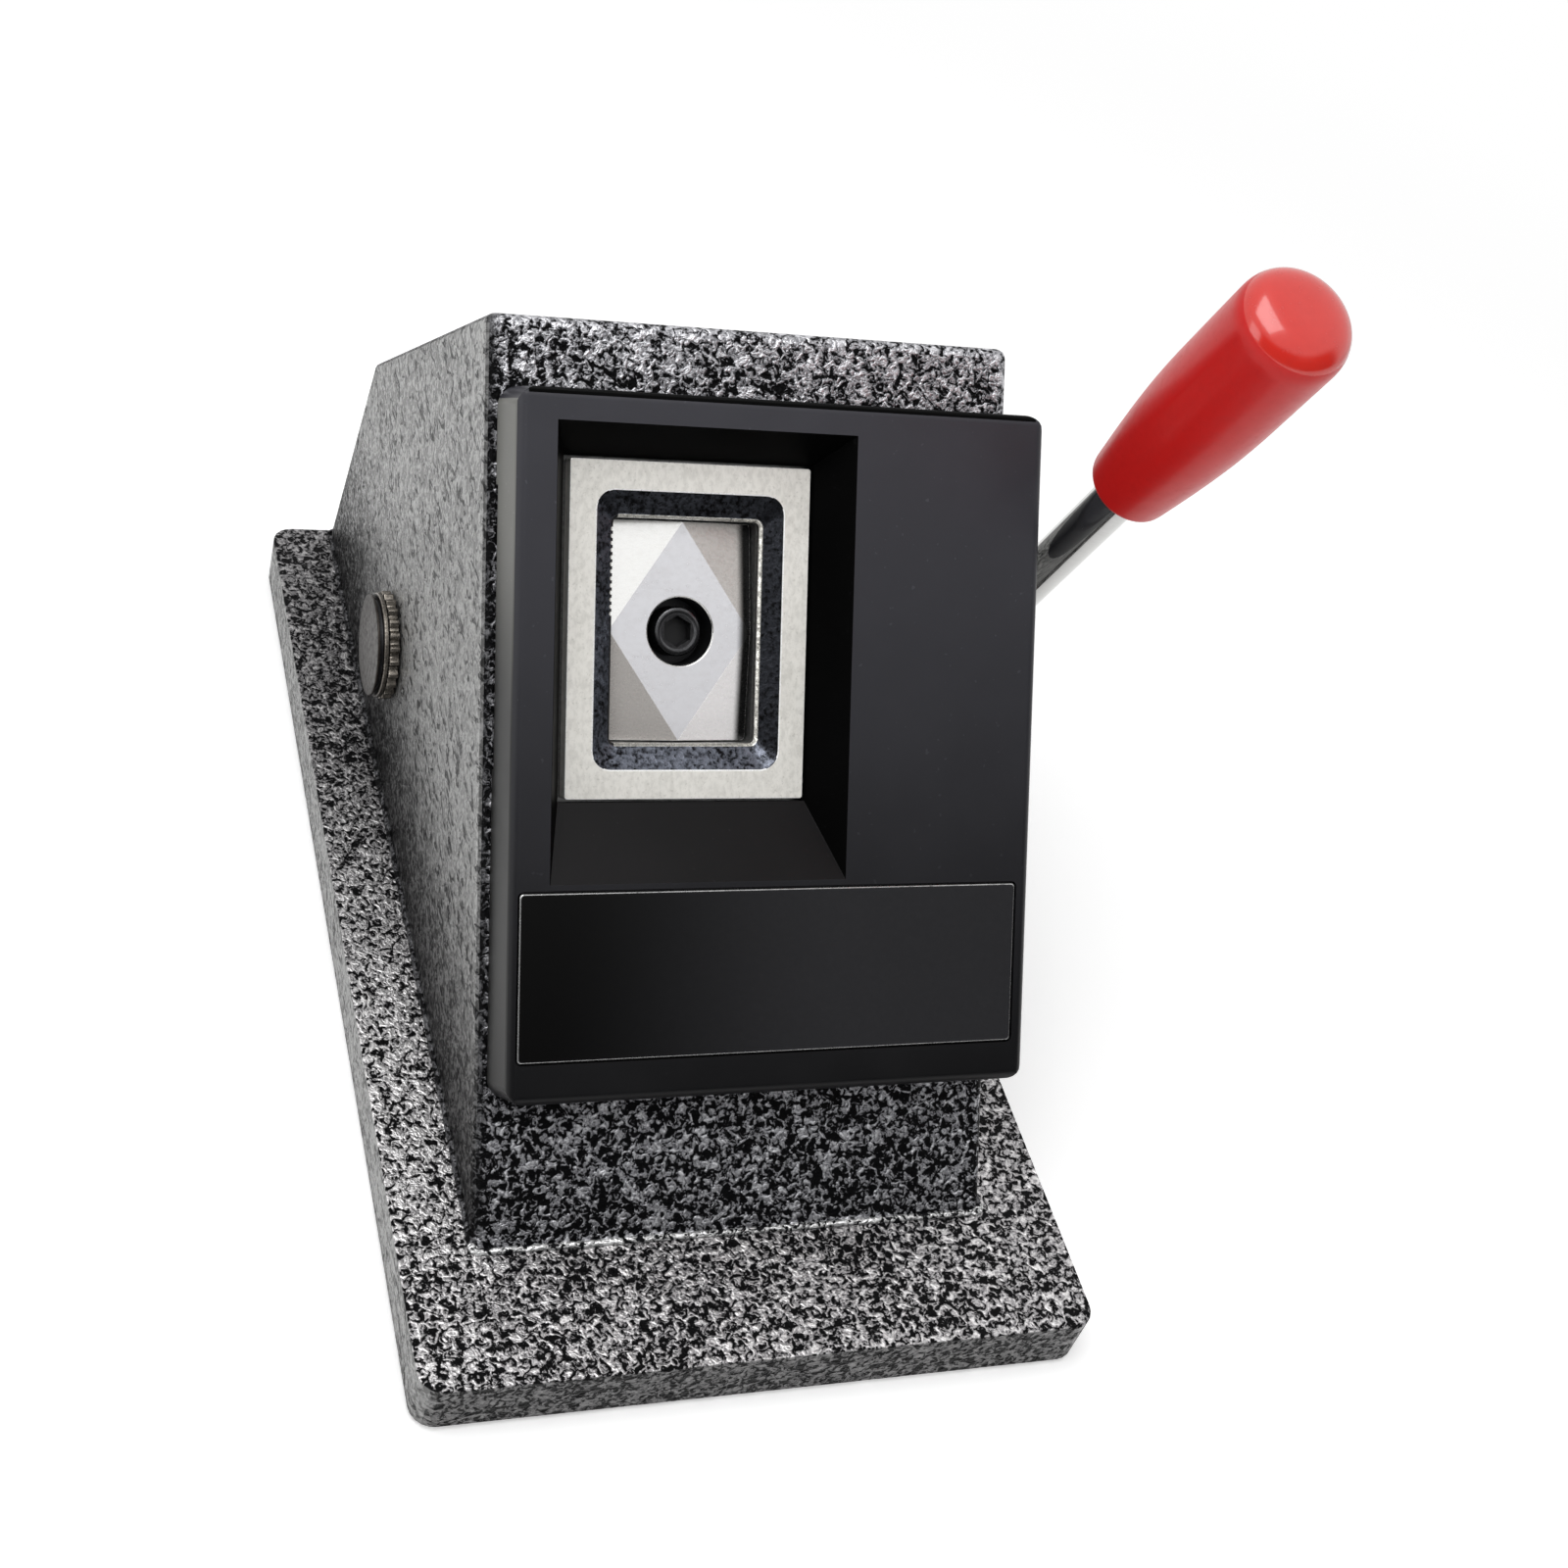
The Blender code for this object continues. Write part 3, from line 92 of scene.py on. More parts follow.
def applyPlace(piece, matrix=None):
    pickOnly(piece)
    if matrix is not None:
        piece.matrix_world = matrix @ piece.matrix_world
    bpy.ops.object.transform_apply(location=True, rotation=True, scale=True)


def applyModifiers(piece):
    pickOnly(piece)
    for modifier in list(piece.modifiers):
        bpy.ops.object.modifier_apply(modifier=modifier.name)


def fixNormals(piece):
    editAll(piece)
    bpy.ops.mesh.remove_doubles(threshold=0.000005)
    bpy.ops.mesh.normals_make_consistent(inside=False)
    bpy.ops.object.mode_set(mode="OBJECT")


def smoothPiece(piece, angle=35):
    # large flat faces keep their own normals and only the eased edges turn
    pickOnly(piece)
    if piece.data.has_custom_normals:
        bpy.ops.mesh.customdata_custom_splitnormals_clear()
    bpy.ops.object.shade_smooth_by_angle(angle=radians(angle), keep_sharp_edges=False)
    weighted = piece.modifiers.new("weighted", "WEIGHTED_NORMAL")
    weighted.weight = 100
    weighted.keep_sharp = True
    bpy.ops.object.modifier_apply(modifier=weighted.name)


def settle(piece, name, material, body, replaced=()):
    piece.name = name
    piece.data.name = name
    piece.data.materials.clear()
    piece.data.materials.append(material)
    if body:
        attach(piece, body)
    if replaced:
        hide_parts(*replaced)
    print("made", name, "with", len(piece.data.polygons), "faces")
    return piece


# places on the machine, in metres

machine = {
    "faceTilt": 40.8,          # degrees from upright
    "creaseY": -0.10455,
    "baseTop": 0.0152,
    "windowX": -0.0174,
    "windowS": 0.1336,
    "leverY": 0.050225887,
    "leverZ": 0.049886052,
    "rodX": 0.0724,
}
tilt = radians(machine["faceTilt"])
# columns are across the face, up the face and out of it
facePlace = Matrix((
    (1, 0, 0, 0),
    (0, sin(tilt), -cos(tilt), machine["creaseY"]),
    (0, cos(tilt), sin(tilt), machine["baseTop"]),
    (0, 0, 0, 1)))
windowPlace = facePlace @ Matrix.Translation((machine["windowX"], machine["windowS"], 0))
leverFoot = Vector((machine["rodX"], machine["leverY"], machine["leverZ"]))


# shader nodes and the groups that several materials share

def startGroup(name, inputs, outputs):
    group = bpy.data.node_groups.new(name, "ShaderNodeTree")
    for label, kind, value in inputs:
        socket = group.interface.new_socket(label, in_out="INPUT", socket_type="NodeSocket" + kind)
        socket.default_value = value
    for label, kind in outputs:
        group.interface.new_socket(label, in_out="OUTPUT", socket_type="NodeSocket" + kind)
    given, out = group.nodes.new("NodeGroupInput"), group.nodes.new("NodeGroupOutput")
    return group, given.outputs, out.inputs


def addNode(tree, kind, **settings):
    node = tree.nodes.new("ShaderNode" + kind)
    for key, value in settings.items():
        setattr(node, key, value)
    return node


def feed(tree, sockets, values):
    # each value is a number, a tuple or another node's output
    for socket, value in zip(sockets, values):
        if isinstance(value, (int, float, tuple)):
            socket.default_value = value
        elif value is not None:
            tree.links.new(value, socket)


def mathNode(tree, operation, first, second=None, third=None, clamp=False):
    node = addNode(tree, "Math", operation=operation, use_clamp=clamp)
    feed(tree, node.inputs, (first, second, third))
    return node.outputs[0]


def times(tree, first, second, clamp=False):
    return mathNode(tree, "MULTIPLY", first, second, clamp=clamp)


def plus(tree, first, second, clamp=False):
    return mathNode(tree, "ADD", first, second, clamp=clamp)


def minus(tree, first, second):
    return mathNode(tree, "SUBTRACT", first, second)


def timesPlus(tree, first, second, third, clamp=False):
    return mathNode(tree, "MULTIPLY_ADD", first, second, third, clamp)


def larger(tree, first, second):
    return mathNode(tree, "MAXIMUM", first, second)


def sizeOf(tree, value):
    return mathNode(tree, "ABSOLUTE", value)


def smoothStep(tree, value, low, high, toLow=0.0, toHigh=1.0):
    node = addNode(tree, "MapRange", interpolation_type="SMOOTHSTEP")
    labels = ("Value", "From Min", "From Max", "To Min", "To Max")
    feed(tree, [node.inputs[label] for label in labels], (value, low, high, toLow, toHigh))
    return node.outputs["Result"]


def mixColour(tree, factor, first, second):
    node = addNode(tree, "Mix", data_type="RGBA")
    feed(tree, (node.inputs[0], node.inputs[6], node.inputs[7]), (factor, first, second))
    return node.outputs[2]


def mixNumber(tree, factor, first, second):
    node = addNode(tree, "Mix", data_type="FLOAT")
    feed(tree, (node.inputs[0], node.inputs[2], node.inputs[3]), (factor, first, second))
    return node.outputs[0]


def noise(tree, vector, scale, detail=2.0, roughness=0.5, distortion=0.0):
    node = addNode(tree, "TexNoise")
    labels = ("Vector", "Scale", "Detail", "Roughness", "Distortion")
    feed(tree, [node.inputs[label] for label in labels], (vector, scale, detail, roughness, distortion))
    return node.outputs["Fac"]


def axesOf(tree, vector):
    node = addNode(tree, "SeparateXYZ")
    tree.links.new(vector, node.inputs[0])
    return node.outputs["X"], node.outputs["Y"], node.outputs["Z"]


def pulled(tree, vector, amounts):
    # the pattern's place, stretched along the axes
    node = addNode(tree, "VectorMath", operation="MULTIPLY")
    feed(tree, node.inputs, (vector, amounts))
    return node.outputs[0]


def greyOf(value):
    return (value, value, value, 1)


def glow(tree, grey):
    node = addNode(tree, "Emission")
    node.inputs["Strength"].default_value = 1.0
    node.inputs["Color"].default_value = greyOf(grey)
    return node.outputs[0]


def mixShaders(tree, factor, first, second):
    node = addNode(tree, "MixShader")
    feed(tree, node.inputs, (factor, first, second))
    return node.outputs[0]


# what the darkened parts of mouldings and metals turn to
shadowBlack = {"moulding": (0.0008, 0.0008, 0.0009, 1), "metal": (0.004, 0.004, 0.004, 1)}

enamel = {
    "scale": 600.0, "relief": 0.0006, "cover": 0.5,     # islands a metre, bump depth, share of silver
    "broadShare": 0.76, "fineShare": 0.24,              # large and small noise in the islands
    "fineScale": 2.3, "patchScale": 0.28, "runScale": 0.72,
    # how far these shift the level at which silver begins
    "coverDrift": 0.2, "patchDrift": 0.16, "upperLightDrift": 0.12, "gleamDrift": 0.03,
    # how strongly these brighten or darken the paint, with painted light and shade among them
    "rimShine": 0.55, "gleamShine": 0.24, "strokeDark": 0.85, "pitDark": 0.3, "frontShade": 0.68,
    "contactShadowDark": 0.5, "frontEdgeShade": 0.55,
    "silverEdge": (0.468, 0.522), "peakEdge": (0.52, 0.66), "strokeEdge": (0.38, 0.455),
    "runPull": (0.5, 0.5, 1.0), "metal": 0.85,
    # where the pattern and the painted light and shade change, in metres on the machine
    "upperLightAbove": (0.14, 0.19),
    "highlightSide": (-0.067, -0.056), "highlightBack": (-0.05, 0.07), "highlightFront": (-0.12, -0.07),
    "footShade": (0.016, 0.078), "footShadeSide": (-0.04, 0.04), "contactShadowHeights": (0.0005, 0.005),
    "fadeBack": (-0.09, 0.13), "leftEdgeShade": (-0.0603, -0.0578), "leftEdgeShadeFoot": (0.016, 0.02),
}


def makeHammeredEnamel():
    # silver floats in worm-like islands round black pits; Scale is islands a metre
    group, given, out = startGroup("hammeredEnamel", [
        ("Scale", "Float", 520.0), ("Pits", "Color", hexColour("#08080A")),
        ("Silver", "Color", hexColour("#7A7A7E")), ("Bright", "Color", hexColour("#D0D0D4")),
        ("Wall", "Color", hexColour("#8E8E8C")), ("Cover", "Float", 0.5), ("Runs", "Float", 0.5),
        ("Fade", "Float", 0.0), ("Ground", "Float", 0.0)],
        [("Colour", "Color"), ("Silver", "Float"), ("Roughness", "Float"), ("Height", "Float")])
    links = group.links
    texture = addNode(group, "TexCoord")
    place, scale = texture.outputs["Object"], given["Scale"]
    broad = noise(group, place, scale, 2.5, 0.55, 0.9)
    fine = noise(group, place, times(group, scale, enamel["fineScale"]), 2.0, 0.6, 0.5)
    islands = timesPlus(group, broad, enamel["broadShare"], times(group, fine, enamel["fineShare"]))
    patches = noise(group, place, times(group, scale, enamel["patchScale"]), 2.0, 0.6)
    covered = times(group, minus(group, given["Cover"], 0.5), enamel["coverDrift"])
    drift = timesPlus(group, minus(group, patches, 0.5), enamel["patchDrift"], covered)
    across, along, height = axesOf(group, place)
    # painted light: more silver high on the casting brightens the upper band
    thick = smoothStep(group, height, *enamel["upperLightAbove"], 0.0, enamel["upperLightDrift"])
    drift = plus(group, drift, thick)
    # painted highlight on the base's left margin near the front
    gleam = times(group, smoothStep(group, across, *enamel["highlightSide"], 1.0, 0.0),
                  smoothStep(group, along, *enamel["highlightBack"], 1.0, 0.0))
    gleam = times(group, gleam, smoothStep(group, along, *enamel["highlightFront"], 0.25, 1.0))
    drift = timesPlus(group, gleam, enamel["gleamDrift"], drift)
    level = plus(group, islands, drift)
    silver = smoothStep(group, level, *enamel["silverEdge"])
    # thin pale rims and specks on the islands
    rims = smoothStep(group, sizeOf(group, minus(group, fine, 0.52)), 0.0, 0.05, 1.0, 0.0)
    peaks = smoothStep(group, level, *enamel["peakEdge"])
    shine = times(group, larger(group, times(group, rims, enamel["rimShine"]), peaks), silver)
    shine = timesPlus(group, gleam, enamel["gleamShine"], shine, clamp=True)
    # on upright walls the paint has run: greyer, in short dark strokes, their darkness partly painted
    # shade of the run dimples
    normalX, normalZ = axesOf(group, texture.outputs["Normal"])[::2]
    upright = smoothStep(group, sizeOf(group, normalZ), 0.1, 0.5, 1.0, 0.0)
    sideways = smoothStep(group, sizeOf(group, normalX), 0.2, 0.8)
    frontways = minus(group, 1.0, sideways)
    wall = times(group, times(group, upright, given["Runs"]), timesPlus(group, sideways, 0.45, 0.55))
    runs = noise(group, pulled(group, place, enamel["runPull"]), times(group, scale, enamel["runScale"]),
                 2.0, 0.55, 1.2)
    strokes = smoothStep(group, runs, *enamel["strokeEdge"], 1.0, 0.0)
    dark = larger(group, times(group, strokes, enamel["strokeDark"]),
                  times(group, minus(group, 1.0, silver), enamel["pitDark"]))
    # painted shade: walls that face the front are the darkest, then the casting's foot, and a painted
    # contact shadow runs along the base's lowest edge
    dark = plus(group, dark, times(group, frontways, enamel["frontShade"]), clamp=True)
    foot = times(group, smoothStep(group, height, *enamel["footShade"], 1.0, 0.0),
                 smoothStep(group, across, *enamel["footShadeSide"], 1.0, 0.4))
    dark = plus(group, dark, times(group, given["Ground"], foot), clamp=True)
    contactShadow = smoothStep(group, height, *enamel["contactShadowHeights"], enamel["contactShadowDark"], 0.0)
    dark = plus(group, dark, contactShadow, clamp=True)
    # toward the back the colour turns to the pits' black
    thin = times(group, smoothStep(group, along, *enamel["fadeBack"]), given["Fade"])
    flatColour = mixColour(group, silver, given["Pits"],
                           mixColour(group, shine, given["Silver"], given["Bright"]))
    flatColour = mixColour(group, thin, flatColour, given["Pits"])
    # painted shade along the casting's left front edge and on upright faces that look to the front
    paintedEdgeShade = times(group, smoothStep(group, across, *enamel["leftEdgeShade"], 1.0, 0.0), given["Ground"])
    paintedEdgeShade = times(group, paintedEdgeShade, smoothStep(group, height, *enamel["leftEdgeShadeFoot"]))
    paintedEdgeShade = larger(group, paintedEdgeShade, times(group, times(group, upright, frontways), enamel["frontEdgeShade"]))
    flatColour = mixColour(group, paintedEdgeShade, flatColour, given["Pits"])
    wallColour = mixColour(group, dark, given["Wall"], given["Pits"])
    links.new(mixColour(group, wall, flatColour, wallColour), out["Colour"])
    links.new(larger(group, silver, times(group, wall, 0.7)), out["Silver"])
    links.new(timesPlus(group, silver, -0.14, 0.46), out["Roughness"])
    relief = timesPlus(group, silver, 0.12, times(group, islands, 1.4))
    wallRelief = timesPlus(group, runs, 3.6, times(group, islands, 0.8))
    links.new(mixNumber(group, wall, relief, wallRelief), out["Height"])
    return group


grain = {
    "cloudScale": 0.012, "dustScale": 0.3,       # shares of the grain's own scale
    "cloud": (0.35, 0.7), "specks": (0.62, 0.74), "dust": (0.74, 0.78),
    "speckPale": 0.25, "dustPale": 0.9, "lowDark": 0.95,
}


def makeMouldGrain():
    # fine leathery grain of a moulding, with faint handling marks
    group, given, out = startGroup("mouldGrain", [
        ("Scale", "Float", 2600.0), ("Colour", "Color", hexColour("#3A3A3E")),
        ("Worn", "Color", hexColour("#55555A")), ("Wear", "Float", 0.12),
        ("DarkBelow", "Float", 0.04), ("PaleAbove", "Float", 0.175)],
        [("Colour", "Color"), ("Roughness", "Float"), ("Height", "Float")])
    links = group.links
    place, scale = addNode(group, "TexCoord").outputs["Object"], given["Scale"]
    fine = noise(group, place, scale, 3.0, 0.55)
    broad = noise(group, place, times(group, scale, grain["cloudScale"]), 3.0, 0.6)
    cloud = smoothStep(group, broad, *grain["cloud"])
    specks = smoothStep(group, fine, *grain["specks"], 0.0, grain["speckPale"])
    dust = noise(group, place, times(group, scale, grain["dustScale"]), 1.0, 0.4)
    grains = smoothStep(group, dust, *grain["dust"], 0.0, grain["dustPale"])
    worn = plus(group, plus(group, times(group, cloud, given["Wear"]), specks), grains, clamp=True)
    grained = mixColour(group, worn, given["Colour"], given["Worn"])
    # painted shade darkens the low edge, and the upper part keeps the grained grey
    height = axesOf(group, place)[2]
    low = smoothStep(group, height, given["DarkBelow"], given["PaleAbove"], grain["lowDark"], 0.0)
    links.new(mixColour(group, low, grained, shadowBlack["moulding"]), out["Colour"])
    links.new(timesPlus(group, cloud, 0.08, 0.36), out["Roughness"])
    links.new(fine, out["Height"])
    return group


wornMetal = {
    "speckScale": 1.7, "stainScale": 0.07,       # shares of the marks' own scale
    "lines": (0.38, 0.68), "specks": (0.6, 0.72), "stain": (0.4, 0.75), "stainShare": 0.5,
    "markRough": 0.25,
}


def makeToolMarks():
    # scatter of fine scratches and specks on worked metal; Stretch lies along them
    group, given, out = startGroup("toolMarks", [
        ("Colour", "Color", hexColour("#C8C8C4")), ("Marks", "Color", hexColour("#8C8C8A")),
        ("Scale", "Float", 900.0), ("Stretch", "Vector", (1.0, 1.0, 1.0)),
        ("Amount", "Float", 0.35), ("Roughness", "Float", 0.32), ("ShadeFrom", "Float", 9.0),
        ("ShadeTo", "Float", 10.0)],
        [("Colour", "Color"), ("Roughness", "Float"), ("Height", "Float")])
    links = group.links
    place, scale = addNode(group, "TexCoord").outputs["Object"], given["Scale"]
    lines = noise(group, pulled(group, place, given["Stretch"]), scale, 4.0, 0.6)
    specks = noise(group, place, times(group, scale, wornMetal["speckScale"]), 2.0, 0.5)
    stain = noise(group, place, times(group, scale, wornMetal["stainScale"]), 3.0, 0.6)
    marks = plus(group, smoothStep(group, lines, *wornMetal["lines"]),
                 smoothStep(group, specks, *wornMetal["specks"]))
    stained = smoothStep(group, stain, *wornMetal["stain"], 0.0, wornMetal["stainShare"])
    marks = plus(group, marks, stained)
    mask = times(group, marks, given["Amount"], clamp=True)
    worked = mixColour(group, mask, given["Colour"], given["Marks"])
    shade = smoothStep(group, axesOf(group, place)[0], given["ShadeFrom"], given["ShadeTo"])
    links.new(mixColour(group, shade, worked, shadowBlack["metal"]), out["Colour"])
    links.new(timesPlus(group, mask, wornMetal["markRough"], given["Roughness"]), out["Roughness"])
    links.new(lines, out["Height"])
    return group


hammeredEnamel = makeHammeredEnamel()
mouldGrain = makeMouldGrain()
toolMarks = makeToolMarks()
print("shader groups made")


# materials

def newMaterial(name, metallic=0.0, coat=0.0, specular=0.5):
    material = bpy.data.materials.new(name)
    material.use_nodes = True
    shader = material.node_tree.nodes["Principled BSDF"]
    shader.inputs["Metallic"].default_value = metallic
    shader.inputs["Coat Weight"].default_value = coat
    shader.inputs["Coat Roughness"].default_value = 0.05
    shader.inputs["Specular IOR Level"].default_value = specular
    return material, shader


def useGroup(material, shader, group, bumpDistance=0.0, bumpStrength=1.0, **values):
    tree = material.node_tree
    node = tree.nodes.new("ShaderNodeGroup")
    node.node_tree = group
    for label, value in values.items():
        node.inputs[label].default_value = value
    tree.links.new(node.outputs["Colour"], shader.inputs["Base Color"])
    tree.links.new(node.outputs["Roughness"], shader.inputs["Roughness"])
    if bumpDistance:
        bump = tree.nodes.new("ShaderNodeBump")
        bump.inputs["Distance"].default_value = bumpDistance
        bump.inputs["Strength"].default_value = bumpStrength
        tree.links.new(node.outputs["Height"], bump.inputs["Height"])
        tree.links.new(bump.outputs["Normal"], shader.inputs["Normal"])
    return node


def makeEnamel(name, pits, silver, bright, wall, cover, runs, fade=0.0, ground=0.0):
    # runs greys the walls, fade darkens the colour toward the back, ground sets the painted shade at the
    # casting's foot and its left front edge
    material, shader = newMaterial(name, specular=0.06)
    node = useGroup(material, shader, hammeredEnamel, enamel["relief"], 1.0,
                    Scale=enamel["scale"], Pits=hexColour(pits), Silver=hexColour(silver),
                    Bright=hexColour(bright), Wall=hexColour(wall), Cover=cover, Runs=runs, Fade=fade,
                    Ground=ground)
    tree = material.node_tree
    tree.links.new(times(tree, node.outputs["Silver"], enamel["metal"]), shader.inputs["Metallic"])
    return material


bodyEnamel = makeEnamel("bodyEnamel", "#040405", "#76767A", "#D8D8DC", "#ACACAB", enamel["cover"] - 0.08,
                        0.85, 0.0, 0.85)
baseEnamel = makeEnamel("baseEnamel", "#050506", "#868486", "#E4E2E2", "#8E8E8D", enamel["cover"] + 0.03,
                        0.95, 0.5)
beadShade = makeEnamel("beadShade", "#040405", "#3A3A3C", "#5E5E60", "#3A3A3A", enamel["cover"], 0.3)
# painted highlight: a bright copy of the enamel for the seam's front
beadHighlight = makeEnamel("beadHighlight", "#101012", "#B8B8B8", "#FFFFFF", "#B8B8B8", enamel["cover"] + 0.15,
                        0.1)


def makeGrained(name, colour, worn, scale, wear, relief, specular=0.5, fade=(-1.0, -0.5)):
    # fade gives the heights between which the moulding turns from painted shade to its own colour
    material, shader = newMaterial(name, specular=specular)
    useGroup(material, shader, mouldGrain, relief, 0.6, Scale=scale, Colour=hexColour(colour),
             Worn=hexColour(worn), Wear=wear, DarkBelow=fade[0], PaleAbove=fade[1])
    return material


coverBlack = makeGrained("coverBlack", "#36363B", "#46464C", 2600.0, 0.2, 0.00001, 0.2, (0.04, 0.175))
# painted shade: darker copies of the moulding for the recess and its low slope; painted reflection: a
# paler one for the cover's left side
recessShade = makeGrained("recessShade", "#030303", "#0A0A0B", 2600.0, 0.2, 0.00001, 0.02)
recessLowShade = makeGrained("recessLowShade", "#0C0B0C", "#1A181A", 2600.0, 0.2, 0.00001, 0.13)
coverSideSheen = makeGrained("coverSideSheen", "#6F6F6B", "#7C7C78", 2600.0, 0.2, 0.00001, 0.18, (0.106, 0.144))
rubberBlack = makeGrained("rubberBlack", "#161617", "#2A2A2B", 1800.0, 0.2, 0.00005)


def makeWorked(name, colour, marks, scale, stretch, amount, roughness, metallic=1.0, relief=0.000004,
               coat=0.0, shade=(9.0, 10.0), specular=0.5):
    # shade darkens the metal between two places across the machine
    material, shader = newMaterial(name, metallic=metallic, coat=coat, specular=specular)
    useGroup(material, shader, toolMarks, relief, 0.5, Colour=hexColour(colour), Marks=hexColour(marks),
             Scale=scale, Stretch=stretch, Amount=amount, Roughness=roughness, ShadeFrom=shade[0],
             ShadeTo=shade[1])
    return material


# how marks are stretched, a polished surface's relief, and where shade falls across punch and label
even, lengthwise = (1.0, 1.0, 1.0), (0.2, 1.0, 1.0)
polished = 0.000001
edgeShade, labelShade = (-0.0046, -0.0026), (0.02, -0.052)
dieSteel = makeWorked("dieSteel", "#EAE8E2", "#ACAAA2", 900.0, (1.0, 0.6, 0.6), 0.28, 0.36, 0.35)
# painted shade: a darker copy of the flare steel for the flare's right and top
flareShade = makeWorked("flareShade", "#3E4046", "#060607", 800.0, even, 0.85, 0.26, 0.92, 0.0003)
flareSteel = makeWorked("flareSteel", "#666A74", "#08080A", 800.0, even, 0.85, 0.26, 0.92, 0.0003)
lipSteel = makeWorked("lipSteel", "#F2F0E8", "#6C6A66", 900.0, even, 0.6, 0.2, 0.8, 0.00015)
# painted highlight: near-white steel for edges
edgeHighlight = makeWorked("edgeHighlight", "#FFFFFF", "#D0CEC8", 900.0, even, 0.4, 0.25, 0.3)
shadeSteel = makeWorked("shadeSteel", "#0C0C0E", "#1A1A1C", 900.0, even, 0.4, 0.4, 0.3)
punchSteel = makeWorked("punchSteel", "#F4F4F2", "#D8D6D2", 1300.0, (0.5, 1.0, 1.0), 0.15, 0.2, 0.9,
                        polished)
punchFace = makeWorked("punchFace", "#E4E4E8", "#CCCACA", 1100.0, (0.6, 1.0, 1.0), 0.18, 0.2, 0.6,
                       polished, 0.0, edgeShade)
# painted shade and painted highlight: a darker and a paler copy of the punch steel for single facets
punchShadedFacet = makeWorked("punchShadedFacet", "#C4C0BC", "#AAA4A0", 1100.0, (0.6, 1.0, 1.0), 0.2, 0.24, 0.4,
                       polished, 0.0, edgeShade)
punchLitFacet = makeWorked("punchLitFacet", "#FAF8F8", "#E2DEDC", 1100.0, (0.6, 1.0, 1.0), 0.2, 0.24, 0.2,
                        polished, 0.0, edgeShade)
# painted highlight: a paler oxide for the screw's crown
oxideGlossHighlight = makeWorked("oxideGlossHighlight", "#5A5A5C", "#2A2A2C", 1600.0, even, 0.4, 0.16, 0.9)
machineSteel = makeWorked("machineSteel", "#A8A8A8", "#70706E", 900.0, lengthwise, 0.5, 0.3)
zincSteel = makeWorked("zincSteel", "#8A847C", "#34302C", 1100.0, even, 0.6, 0.24, 0.9)
# painted shade: a darker zinc for the cap's face
capShadedZinc = makeWorked("capShadedZinc", "#36312D", "#1A1715", 800.0, even, 0.6, 0.34, 0.75)
springSteel = makeWorked("springSteel", "#8C8C90", "#5A5A5C", 1600.0, even, 0.4, 0.28)
blackOxide = makeWorked("blackOxide", "#1C1C1E", "#3A3A3C", 1600.0, even, 0.5, 0.34, 0.6)
bushBronze = makeWorked("bushBronze", "#B08850", "#7E5E34", 1000.0, lengthwise, 0.5, 0.3)
rodChrome = makeWorked("rodChrome", "#C4C4C2", "#A4A4A2", 1400.0, lengthwise, 0.12, 0.04, 1.0, polished)
gripRed = makeWorked("gripRed", "#C81A18", "#B41412", 500.0, even, 0.2, 0.3, 0.0, polished, 0.08,
                     specular=0.26)
# painted highlight: pale metal for the label's bevelled rim
labelRimHighlight = makeWorked("labelRimHighlight", "#BEBEBE", "#707070", 900.0, even, 0.5, 0.22, 0.9)
# painted highlight: a paler, glossier red for the grip's end
gripEndHighlight = makeWorked("gripEndHighlight", "#D02A20", "#BC201A", 500.0, even, 0.2, 0.2, 0.0, polished, 0.6)
labelBlack = makeWorked("labelBlack", "#2A2A2C", "#323234", 700.0, even, 0.12, 0.05, 0.0, 0.0000005,
                        0.0, labelShade, 0.1)

slotMaterials = {
    "hammer_enamel": bodyEnamel, "base_enamel": baseEnamel, "black_moulding": coverBlack,
    "gloss_label": labelBlack, "ground_steel": dieSteel, "punch_steel": punchSteel,
    "black_oxide": blackOxide, "machine_steel": machineSteel, "zinc_steel": zincSteel,
    "spring_steel": springSteel, "bronze": bushBronze, "chrome": rodChrome, "red_grip": gripRed,
    "black_rubber": rubberBlack,
}
for node in nodes.values():
    for place in node.material_slots:
        place.material = slotMaterials[place.material.name.split(".")[0]]
print("materials made")


# camera, light and floor

cameraPlan = {"place": (-0.17465, -0.3647, 0.42495), "turn": (46.3897, -14.8696, -15.4361),
              "lens": 51.94}
cameraData = bpy.data.cameras.new("photoCamera")
cameraData.lens = cameraPlan["lens"]
cameraData.sensor_width = 36
cameraData.clip_start = 0.01
camera = bpy.data.objects.new("photoCamera", cameraData)
camera.location = cameraPlan["place"]
camera.rotation_euler = [radians(angle) for angle in cameraPlan["turn"]]
bpy.context.collection.objects.link(camera)
bpy.context.scene.camera = camera

lamps = {
    # place, size in metres, power in watts
    "topBox": ((-0.3, -0.1, 1.2), 0.8, 8.0),
    "leftBox": ((-1.1, -0.2, 0.5), 0.6, 2.0),
    "frontBox": ((0.4, -1.0, 0.8), 0.6, 2.4),      # lights the front but shows in no mirror
}
lampAim = Vector((0, 0, 0.08))
for name, (place, size, power) in lamps.items():
    lampData = bpy.data.lights.new(name, "AREA")
    lampData.shape = "SQUARE"
    lampData.size = size
    lampData.energy = power
    lamp = bpy.data.objects.new(name, lampData)
    lamp.location = place
    lamp.visible_glossy = name != "frontBox"
    lamp.rotation_euler = (lampAim - Vector(place)).to_track_quat("-Z", "Y").to_euler()
    bpy.context.collection.objects.link(lamp)

